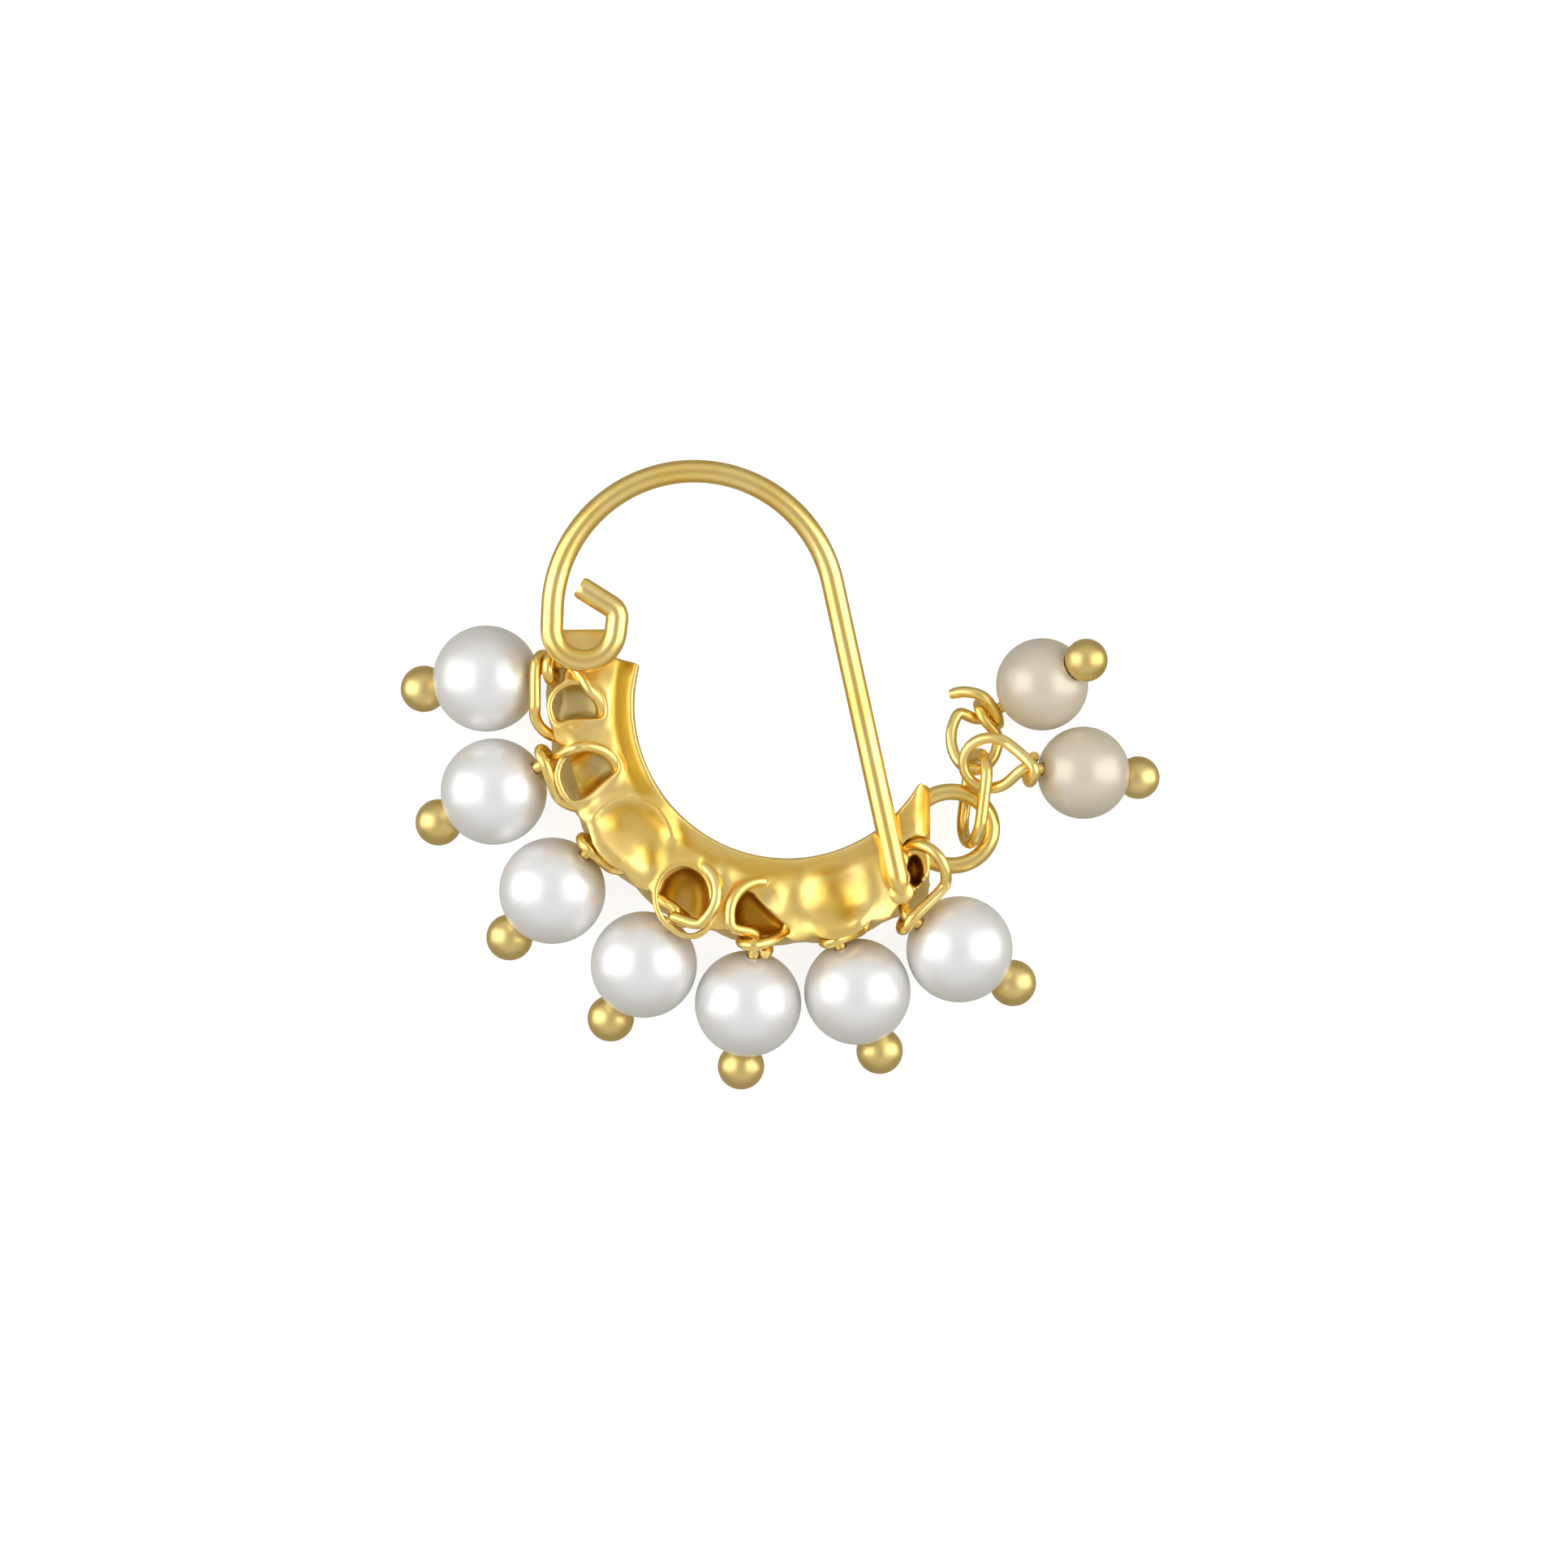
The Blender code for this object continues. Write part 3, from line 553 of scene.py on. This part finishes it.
places[:, 2] += RIDGE_RISE * np.exp(-((ridge / RIDGE_REACH) ** 2)) * back
channel = soft_step((radius - INNER_RADIUS - CHANNEL_INNER) / 0.08)
channel *= soft_step((INNER_RADIUS + CHANNEL_OUTER - radius) / 0.14)
channel *= 0.35 + 0.65 * soft_step((2.9 - station) / 0.7)
places[:, 2] -= CHANNEL_DEPTH * channel * back
fold = np.clip(places[:, 0] - HORN_FOLD, 0, 1) * soft_step((station - 7.25) / 0.3)
places[:, 2] -= HORN_SLOPE * fold * back
for _ in range(LAST_SMOOTHING):
    places += (neighbour_mean(places, edges, degree) - places) * LAST_EASE
places[:, 2] = np.maximum(places[:, 2], 0)

# Painted shade: how far the gold is darkened in small hollows, low in the open cups, in the channel and on
# the horn. These places are also made a little rougher.
mean = places
for _ in range(HOLLOW_PASSES):
    mean = neighbour_mean(mean, edges, degree)
hollow = ((mean - places) * normals).sum(1)
depth = np.clip((BACK_HEIGHT - 0.5 - places[:, 2]) / 2.0, 0, 1)
inside = (radius > INNER_RADIUS + 0.25) & (radius < 7.6) & (normals[:, 2] > -0.3)
cavity = np.clip(hollow / HOLLOW_FULL, 0, 1) * HOLLOW_SHADE + depth * inside * CUP_SHADE
cavity += channel * back * CHANNEL_SHADE
cavity += fold * back * HORN_SHADE
cavity = np.clip(cavity, 0, 1)[:, None]
# Painted reflection: the gold turns olive, and rougher, on two cup floors and on the flap beside cup 5, as
# if reflecting the grey room.
dull = np.zeros(size)
for x, y, reach in DULL_REFLECTION_FLOORS:
    near = np.hypot(places[:, 0] - x, places[:, 1] - y)
    dull = np.maximum(dull, soft_step((reach - near) / 0.3))
dull *= soft_step((2.8 - places[:, 2]) / 0.2) * soft_step(normals[:, 2] * 2)
flap = np.hypot(places[:, 0] - DULL_REFLECTION_FLAP[0], places[:, 1] - DULL_REFLECTION_FLAP[1])
dull = np.maximum(dull, soft_step((DULL_REFLECTION_FLAP[2] - flap) / 0.25) * back * FLAP_DULL_REFLECTION)[:, None]
for _ in range(SHADE_AND_DULL_PASSES):
    cavity = neighbour_mean(cavity, edges, degree)
    dull = neighbour_mean(dull, edges, degree)

casting.vertices.foreach_set("co", ((places + np.array(CENTRE)) * MM).ravel())
# Kept on the points for the material: the painted shade, and the dull places with their painted olive
# reflection.
casting.attributes.new("cavity", "FLOAT", "POINT").data.foreach_set("value", cavity.ravel())
casting.attributes.new("dull", "FLOAT", "POINT").data.foreach_set("value", dull.ravel())
casting.materials.clear()
casting.materials.append(cast_gold)
casting.shade_smooth()
crescent = bpy.data.objects.new("cast_crescent", casting)
bpy.context.scene.collection.objects.link(crescent)
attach(crescent, "root")
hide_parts("crescent_with_nose_wire")

# The hook: hard-drawn brass wire, plated with the rest, bent by hand into a straight run, a
# bow and a curl that presses on the nostril. Its lower end is soldered to the crescent's back
# with a small flowed bead.
HOOK_SIDES = 24
HOOK_STEP = 0.12
HOOK_TAPER = (0.4, 0.62, 0.78, 0.89, 0.96)
HOOK_TIP = 0.86
SOLDER_PLACES = ((0.02, 0.04, 0.41), (-0.09, 0.48, 0.41))
SOLDER_FLATNESS = 0.4
SOLDER_SINK = 0.26


def drawn_colour(start):
    cloud = start.speckle(600)
    return (cloud * 2.0 - 0.5).between(GOLD_WARM, GOLD_PALE)


def drawn_roughness(start):
    return 0.25 + start.speckle(2000) * 0.05


def drawn_height(start):
    return start.speckle(2500, 3.0)


drawn_gold = finish("drawn_gold", drawn_colour, drawn_roughness, 0.015, drawn_height, 1.0)

path = hook_path(HOOK_STEP)
radii = [HOOK_WIRE / 2] * len(path)
for i, share in enumerate(HOOK_TAPER):
    radii[i] *= share
radii[-1] *= HOOK_TIP
add_piece("hook_wire", *wire_mesh(path, radii, HOOK_SIDES), drawn_gold, "gold")


def ball_mesh(middle, radius, rows, sides, squash):
    """Points and faces of a ball that is squashed from above."""
    points = [middle + Vector((0, 0, radius * squash))]
    for i in range(1, rows):
        rise = math.pi * i / rows
        for j in range(sides):
            turn = TURN * j / sides
            flat = radius * math.sin(rise)
            up = radius * squash * math.cos(rise)
            points.append(middle + Vector((flat * math.cos(turn), flat * math.sin(turn), up)))
    points.append(middle - Vector((0, 0, radius * squash)))
    faces = []
    last = len(points) - 1
    for j in range(sides):
        k = (j + 1) % sides
        faces.append((0, 1 + j, 1 + k))
        for i in range(rows - 2):
            row = 1 + i * sides
            faces.append((row + j, row + sides + j, row + sides + k, row + k))
        faces.append((last - sides + j, last, last - sides + k))
    return points, faces


points, faces = [], []
for x, y, radius in SOLDER_PLACES:
    more, their_faces = ball_mesh(path[0] + Vector((x, y, -SOLDER_SINK)), radius, 10, 20, SOLDER_FLATNESS)
    faces += [tuple(index + len(points) for index in face) for face in their_faces]
    points += more
add_piece("solder_bead", points, faces, cast_gold, "gold")

# The seven drops: a glass-cored imitation pearl on a ball-head pin, which is bent into a loop
# through the cup's pierced side and wrapped round its own neck.
PEARL = 3.45
BALL = 1.52
PIN_WIRE = 0.37
BORE = PIN_WIRE / 2 + 0.03
MOUTH_RADIUS = 0.48
BALL_SEAT_GAP = 0.04
DROP_CIRCLE = 9.705
LOOP_CENTRE_RADIUS = 6.95
LOOP_REACH = 1.08
LOOP_WIDTH = 0.97
WRAP = PIN_WIRE + 0.08
WIRE_STEP = 0.09
PIN_SIDES = 14
HEAD_BANDS = 18
HEAD_SIDES = 28
PEARL_ROWS = 40
PEARL_SIDES = 56
LOOP_PLACES = 14
WRAP_PLACES = 9
PEARL_WHITE = (0.875, 0.875, 0.875, 1)
PEARL_ROSE = (0.875, 0.86, 0.845, 1)
BALL_GOLD = (0.92, 0.73, 0.32, 1)
BALL_DULL = (0.76, 0.56, 0.18, 1)

DROPS = [
    dict(station=1, bearing=-0.02, out=1.01, swing=14.1, loop_bearing=0.29, loop_out=1.02, high=2.92,
         reach=1.0, width=0.92, roll=30, side=1, opening=0.7, rise=1.35, foot=0.3,
         turns=1.45, climb=1),
    dict(station=2, bearing=-0.03, out=1.022, swing=12.4, loop_bearing=0.115, loop_out=1.0, high=2.92,
         reach=1.0, width=1.0, roll=30, side=1, opening=0.95, rise=0.6, foot=0.6,
         turns=0.75, climb=-1),
    dict(station=3, bearing=-0.02, out=1.0, swing=8.9, loop_bearing=0.04, loop_out=1.01, high=2.32,
         reach=0.78, width=0.88, roll=8, side=1, opening=1.1, rise=0.5, foot=0.5,
         turns=0.6, climb=-1),
    dict(station=4, bearing=0.03, out=0.99, swing=-2.7, loop_bearing=0.075, loop_out=1.0, high=2.92,
         reach=1.0, width=1.0, roll=30, side=-1, opening=0.9, rise=0.52, foot=0.52,
         turns=0.6, climb=-1),
    dict(station=5, bearing=0.02, out=1.005, swing=1.1, loop_bearing=0.02, loop_out=0.98, high=2.92,
         reach=0.97, width=1.0, roll=30, side=1, opening=1.1, rise=0.75, foot=0.6,
         turns=0.85, climb=-1),
    dict(station=6, bearing=0.0, out=0.985, swing=6.9, loop_bearing=0.04, loop_out=1.0, high=2.32,
         reach=0.78, width=0.88, roll=8, side=1, opening=1.15, rise=0.5, foot=0.5,
         turns=0.6, climb=-1),
    dict(station=7, bearing=-0.01, out=0.998, swing=22.4, loop_bearing=0.14, loop_out=0.99, high=2.6,
         reach=0.88, width=0.8, roll=45, side=-1, opening=0.85, rise=0.52, foot=0.52,
         turns=0.6, climb=-1),
]


def pearl_colour(white, rose):
    def colour(start):
        return (start.speckle(350, 2.0) * 1.6 - 0.3).between(white, rose)
    return colour


def pearl_roughness(start):
    return 0.34 + start.speckle(900) * 0.08


def pearl_height(start):
    return start.speckle(2500, 3.0)


white_pearl = finish("white_pearl", pearl_colour(PEARL_WHITE, PEARL_ROSE), pearl_roughness, 0.05,
                     pearl_height, 0.42, Coat_Weight=0.3, Coat_Roughness=0.4, Specular_IOR_Level=0.6)


def ball_colour(start):
    return (start.speckle(700) * 2.0 - 0.5).between(BALL_DULL, BALL_GOLD)


def ball_roughness(start):
    return 0.34 + start.speckle(2500) * 0.1


ball_gold = finish("ball_gold", ball_colour, ball_roughness, 0.15, drawn_height, 1.0)


def add_pearl(name, diameter, place, ball_direction, material, slot, node):
    """A round bead with a bore for the pin and a countersunk mouth towards the ball."""
    rows, sides = PEARL_ROWS, PEARL_SIDES
    radius = diameter / 2
    start = math.asin(MOUTH_RADIUS / radius)
    end = math.pi - math.asin(BORE / radius)
    profile = []
    for i in range(rows + 1):
        turn = start + (end - start) * i / rows
        profile.append((radius * math.sin(turn), radius * math.cos(turn)))
    profile.append((BORE, radius * math.cos(start) - (MOUTH_RADIUS - BORE)))
    lean = UP.rotation_difference(ball_direction)
    points, faces = [], []
    for across, along in profile:
        for i in range(sides):
            turn = TURN * i / sides
            points.append(place + lean @ Vector((across * math.cos(turn), across * math.sin(turn), along)))
    for i in range(len(profile)):
        n = (i + 1) % len(profile)
        for j in range(sides):
            k = (j + 1) % sides
            faces.append((i * sides + j, i * sides + k, n * sides + k, n * sides + j))
    add_piece(name, points, faces, material, slot, [node])


def ball_distance(pearl, ball):
    """From a pearl's centre to the centre of the ball seated in its drilled mouth."""
    rim = math.sqrt((pearl / 2) ** 2 - MOUTH_RADIUS**2)
    cap = math.sqrt((ball / 2) ** 2 - MOUTH_RADIUS**2)
    return rim + cap + BALL_SEAT_GAP


def smooth_path(controls, step):
    """Points about one step apart on a smooth curve through the control points."""
    path = [controls[0]]
    for i in range(len(controls) - 1):
        p1, p2 = controls[i], controls[i + 1]
        p0 = controls[i - 1] if i else p1 - (p2 - p1)
        p3 = controls[i + 2] if i + 2 < len(controls) else p2 + (p2 - p1)
        t1 = math.sqrt((p1 - p0).length)
        t2 = math.sqrt((p2 - p1).length)
        t3 = math.sqrt((p3 - p2).length)
        m1 = (p2 - p1) - t2 * ((p2 - p0) / (t1 + t2) - (p1 - p0) / t1)
        m2 = (p2 - p1) + t2 * ((p3 - p2) / t3 - (p3 - p1) / (t2 + t3))
        pieces = max(1, round((p2 - p1).length / step))
        for j in range(1, pieces + 1):
            u = j / pieces
            a = 2 * u**3 - 3 * u**2 + 1
            b = u**3 - 2 * u**2 + u
            c = u**3 - u**2
            path.append(a * p1 + b * m1 + (1 - a) * p2 + c * m2)
    return path


def loop_path(pole, neck, centre, reach, width, sense, opening, rise, foot, turns, climb):
    """The wire beyond the pearl: neck, loop, and the wraps round the neck."""
    start = pole + neck * rise
    over = (UP - neck * UP.dot(neck)).normalized()
    across = neck.cross(over)
    if across.dot(centre - start) > 0:
        across = -across
    back = pole + neck * foot + over * WRAP

    def bearing(place):
        offset = place - centre
        return math.atan2(offset.dot(width) / width.length_squared, offset.dot(reach) / reach.length_squared)

    first = bearing(start) + sense * opening
    last = bearing(back) - sense * opening
    while (last - first) * sense < math.pi:
        last += sense * TURN
    path = [pole, start]
    for i in range(LOOP_PLACES + 1):
        turn = first + (last - first) * i / LOOP_PLACES
        path.append(centre + reach * math.cos(turn) + width * math.sin(turn))
    steps = max(3, round(WRAP_PLACES * turns))
    for i in range(steps + 1):
        turn = TURN * turns * i / steps
        along = neck * (foot + climb * WRAP * turn / TURN)
        path.append(pole + along + WRAP * (over * math.cos(turn) + across * math.sin(turn)))
    return path


def add_pin(name, ball, ball_place, inward, path, node):
    """A ball-head pin: the turned ball in one piece with its wire, whose cut end is burred."""
    wire = PIN_WIRE / 2
    radius = ball / 2
    places, radii = [], []
    for i in range(HEAD_BANDS):
        turn = math.pi * max(i, 0.2) / HEAD_BANDS
        places.append(ball_place - inward * radius * math.cos(turn))
        radii.append(radius * math.sin(turn))
    places.append(ball_place + inward * math.sqrt(radius**2 - wire**2))
    radii.append(wire)
    head = wire_mesh(places, radii, HEAD_SIDES)
    stem = [places[-1] - inward * wire] + smooth_path(path, WIRE_STEP)
    thin = [wire] * (len(stem) - 2) + [wire * 0.96, wire * 0.8]
    shank = wire_mesh(stem, thin, PIN_SIDES)
    points = head[0] + shank[0]
    faces = head[1] + [tuple(index + len(head[0]) for index in face) for face in shank[1]]
    pin = add_piece(name, points, faces, ball_gold, "gold", [node])
    pin.data.materials.append(drawn_gold)
    for polygon in pin.data.polygons:
        if min(polygon.vertices) >= len(head[0]):
            polygon.material_index = 1


for drop in DROPS:
    number = drop["station"]
    angle = station_angle(number + drop["bearing"])
    pearl_place = polar(DROP_CIRCLE * drop["out"], angle, PEARL / 2)
    distance = ball_distance(PEARL, BALL)
    tilt = math.asin((PEARL - BALL) / 2 / distance)
    outward = polar(math.cos(tilt), angle + drop["swing"], -math.sin(tilt))
    loop_angle = station_angle(number + drop["loop_bearing"])
    loop_centre = polar(LOOP_CENTRE_RADIUS * drop["loop_out"], loop_angle, drop["high"])
    reach = polar(-LOOP_REACH * drop["reach"], loop_angle)
    half = LOOP_WIDTH * drop["width"]
    width = polar(half, loop_angle + 90)
    width.z = -drop["side"] * half * math.tan(math.radians(drop["roll"]))
    path = loop_path(pearl_place - outward * PEARL / 2, -outward, loop_centre, reach, width, 1,
                     drop["opening"], drop["rise"], drop["foot"], drop["turns"], drop["climb"])
    ball_place = pearl_place + outward * distance
    node = f"pearl_{number}"
    add_pearl(f"pearl_bead_{number}", PEARL, pearl_place, outward, white_pearl, "pearl_white", node)
    add_pin(f"ball_pin_{number}", BALL, ball_place, -outward, path, f"head_pin_{number}")

# The ring through the crescent's right end and the long link that hangs in it: round brass
# wire, closed on itself with a butt seam.
RING_WIRE = 0.54
RING_REACH = 1.32
RING_WIDTH = 1.2
RING_PLACES = 72
RING_SIDES = 16
RING_SEAM = 31
SEAM_SHARE = 0.9
LINK_WIRE = 0.4
LINK_LENGTH = 3.29
LINK_BEND = 0.825
LINK_HEADING = 83.0
LINK_LEAN = 70.0
LINK_MIDDLE = Vector((6.08112, -3.02039, 1.5))
LINK_END_PLACES = 24
LINK_SIDE_PLACES = 8
LINK_SIDES = 14
LINK_SEAM = 28

path = []
for i in range(RING_PLACES):
    turn = TURN * i / RING_PLACES
    path.append(RING_MIDDLE + Vector((RING_REACH * math.cos(turn), RING_WIDTH * math.sin(turn), 0)))
radii = [RING_WIRE / 2 * (SEAM_SHARE if i == RING_SEAM else 1.0) for i in range(RING_PLACES)]
add_piece("jump_ring", *wire_mesh(path, radii, RING_SIDES, True), drawn_gold, "gold", ["end_jump_ring"])

along = polar(1, LINK_HEADING)
across = polar(math.cos(math.radians(LINK_LEAN)), LINK_HEADING - 90, math.sin(math.radians(LINK_LEAN)))
half = (LINK_LENGTH - LINK_WIRE) / 2 - LINK_BEND
path = []
for end in (1, -1):
    for i in range(LINK_END_PLACES + 1):
        turn = math.pi * i / LINK_END_PLACES
        place = along * (half + LINK_BEND * math.sin(turn)) + across * LINK_BEND * math.cos(turn)
        path.append(LINK_MIDDLE + end * place)
    for i in range(1, LINK_SIDE_PLACES):
        share = 1 - 2 * i / LINK_SIDE_PLACES
        path.append(LINK_MIDDLE + end * (along * half * share - across * LINK_BEND))
radii = [LINK_WIRE / 2 * (SEAM_SHARE if i == LINK_SEAM else 1.0) for i in range(len(path))]
add_piece("long_link", *wire_mesh(path, radii, LINK_SIDES, True), drawn_gold, "gold", ["chain_link"])

# The two end drops: smaller cream beads on the same kind of pin, both hooked into the link's
# upper end. The wire of the outer one ends in a long tail.
SMALL_PEARL = 3.0
SMALL_BALL = 1.4
CREAM = (0.71, 0.65, 0.54, 1)
CREAM_WARM = (0.71, 0.63, 0.49, 1)

END_DROPS = [
    dict(number=8, along=0.596, right=0.0, height=1.08, reach=1.04, width=0.76, reach_bearing=270,
         reach_lift=0.33, width_lift=0.0, neck_bearing=45.7, neck_length=1.614, bearing=28.9, lift=36.0,
         neck_lift=0.0, sense=-1, opening=1.0, rise=1.1, foot=0.98, turns=0.95, climb=-1,
         tail=((0.27, 1.34, 0.25), (-0.33, 1.50, 0.15), (-0.78, 1.42, 0.0))),
    dict(number=9, along=0.35, right=0.152, height=2.05, reach=0.87, width=0.815, reach_bearing=180,
         reach_lift=-0.2, width_lift=0.2, neck_bearing=-6.9, neck_length=1.672, bearing=-5.0, lift=-23.6,
         neck_lift=23.6, sense=1, opening=0.9, rise=0.55, foot=0.5, turns=0.7, climb=-1, tail=()),
]

cream_pearl = finish("cream_pearl", pearl_colour(CREAM, CREAM_WARM), pearl_roughness, 0.05,
                     pearl_height, 0.3, Coat_Weight=0.3, Coat_Roughness=0.4, Specular_IOR_Level=0.6)

for drop in END_DROPS:
    number = drop["number"]
    loop_centre = LINK_MIDDLE + Vector((drop["right"], drop["along"], 0)) * LINK_LENGTH
    loop_centre.z = drop["height"]
    lift = math.radians(drop["lift"])
    outward = polar(math.cos(lift), drop["bearing"], math.sin(lift))
    pole = loop_centre + polar(drop["neck_length"], drop["neck_bearing"])
    pole.z = SMALL_PEARL / 2 * (1 - outward.z)
    reach = polar(drop["reach"], drop["reach_bearing"], drop["reach_lift"])
    width = polar(drop["width"], drop["reach_bearing"] - 90, drop["width_lift"])
    neck_lift = math.radians(drop["neck_lift"])
    neck = polar(math.cos(neck_lift), drop["bearing"] + 180, math.sin(neck_lift))
    path = loop_path(pole, neck, loop_centre, reach, width, drop["sense"], drop["opening"],
                     drop["rise"], drop["foot"], drop["turns"], drop["climb"])
    path += [loop_centre + Vector(place) for place in drop["tail"]]
    pearl_place = pole + outward * SMALL_PEARL / 2
    ball_place = pearl_place + outward * ball_distance(SMALL_PEARL, SMALL_BALL)
    node = f"pearl_{number}"
    add_pearl(f"pearl_bead_{number}", SMALL_PEARL, pearl_place, outward, cream_pearl, "pearl_cream", node)
    add_pin(f"ball_pin_{number}", SMALL_BALL, ball_place, -outward, path, f"head_pin_{number}")

# The table: a white sheet that glows a little from below, so that hardly a shadow shows.
TABLE_RADIUS = 0.6
TABLE_SIDES = 48
TABLE_GLOW = 0.8

table_mesh = bpy.data.meshes.new("white_table")
rim = [tuple(polar(TABLE_RADIUS, 360 * i / TABLE_SIDES)) for i in range(TABLE_SIDES)]
table_mesh.from_pydata(rim, [], [tuple(range(TABLE_SIDES))])
table = bpy.data.objects.new("white_table", table_mesh)
bpy.context.scene.collection.objects.link(table)
sheet = bpy.data.materials.new("white_sheet")
sheet.use_nodes = True
shader = sheet.node_tree.nodes["Principled BSDF"]
shader.inputs["Base Color"].default_value = (0.5, 0.5, 0.5, 1)
shader.inputs["Roughness"].default_value = 0.9
shader.inputs["Specular IOR Level"].default_value = 0.0
shader.inputs["Emission Color"].default_value = (1, 1, 1, 1)
shader.inputs["Emission Strength"].default_value = TABLE_GLOW
table_mesh.materials.append(sheet)
table.visible_glossy = False
table.visible_diffuse = False

# The light: a large soft box on each side of the table, and a pale room all round.
BOX_REACH = 0.25
BOX_HEIGHT = 0.13
BOX_FORWARD = 0.03
BOX_SIZE = 0.25
BOX_TALL = 1.6
BOX_POWER = 0.53
ROOM_STRENGTH = 0.7
ROOM_STOPS = (
    (0.0, (0.6, 0.56, 0.47, 1)),
    (0.45, (0.49, 0.46, 0.4, 1)),
    (0.7, (0.92, 0.92, 0.92, 1)),
    (0.9, (1.0, 1.0, 1.0, 1)),
    (1.0, (0.62, 0.62, 0.62, 1)),
)

for name, side in (("left_soft_box", -1), ("right_soft_box", 1)):
    lamp = bpy.data.lights.new(name, "AREA")
    lamp.shape = "RECTANGLE"
    lamp.size = BOX_SIZE
    lamp.size_y = BOX_SIZE * BOX_TALL
    lamp.energy = BOX_POWER
    box = bpy.data.objects.new(name, lamp)
    box.location = (side * BOX_REACH, BOX_FORWARD, BOX_HEIGHT)
    box.rotation_euler = (-Vector(box.location)).to_track_quat("-Z", "Y").to_euler()
    bpy.context.scene.collection.objects.link(box)

room = bpy.data.worlds.new("pale_room")
room.use_nodes = True
air = Tone(room.node_tree)
rise = air.node("ShaderNodeSeparateXYZ", {}, {0: air.node("ShaderNodeTexCoord", output="Generated")}, 2)
shade = air.node("ShaderNodeValToRGB", {"stops": ROOM_STOPS}, {0: rise * 0.5 + 0.5})
room.node_tree.links.new(shade.socket, room.node_tree.nodes["Background"].inputs["Color"])
room.node_tree.nodes["Background"].inputs["Strength"].default_value = ROOM_STRENGTH
bpy.context.scene.world = room
bpy.context.scene.view_settings.view_transform = "Standard"

# The camera: straight above the pin, far enough for a long lens, framed as the photograph is.
VIEW_WIDTH = 50.84 * MM
VIEW_PLANE = 1.7 * MM
VIEW_AIM = Vector((-0.105, -2.553, 0))
LENS = 250
SENSOR = 36

camera = bpy.data.cameras.new("table_camera")
camera.sensor_width = SENSOR
camera.lens = LENS
camera.clip_start = 0.002
camera.clip_end = 10
eye = bpy.data.objects.new("table_camera", camera)
aim = (VIEW_AIM + CENTRE) * MM
eye.location = (aim.x, aim.y, VIEW_PLANE + VIEW_WIDTH * LENS / SENSOR)
bpy.context.scene.collection.objects.link(eye)
bpy.context.scene.camera = eye

bpy.context.view_layer.update()
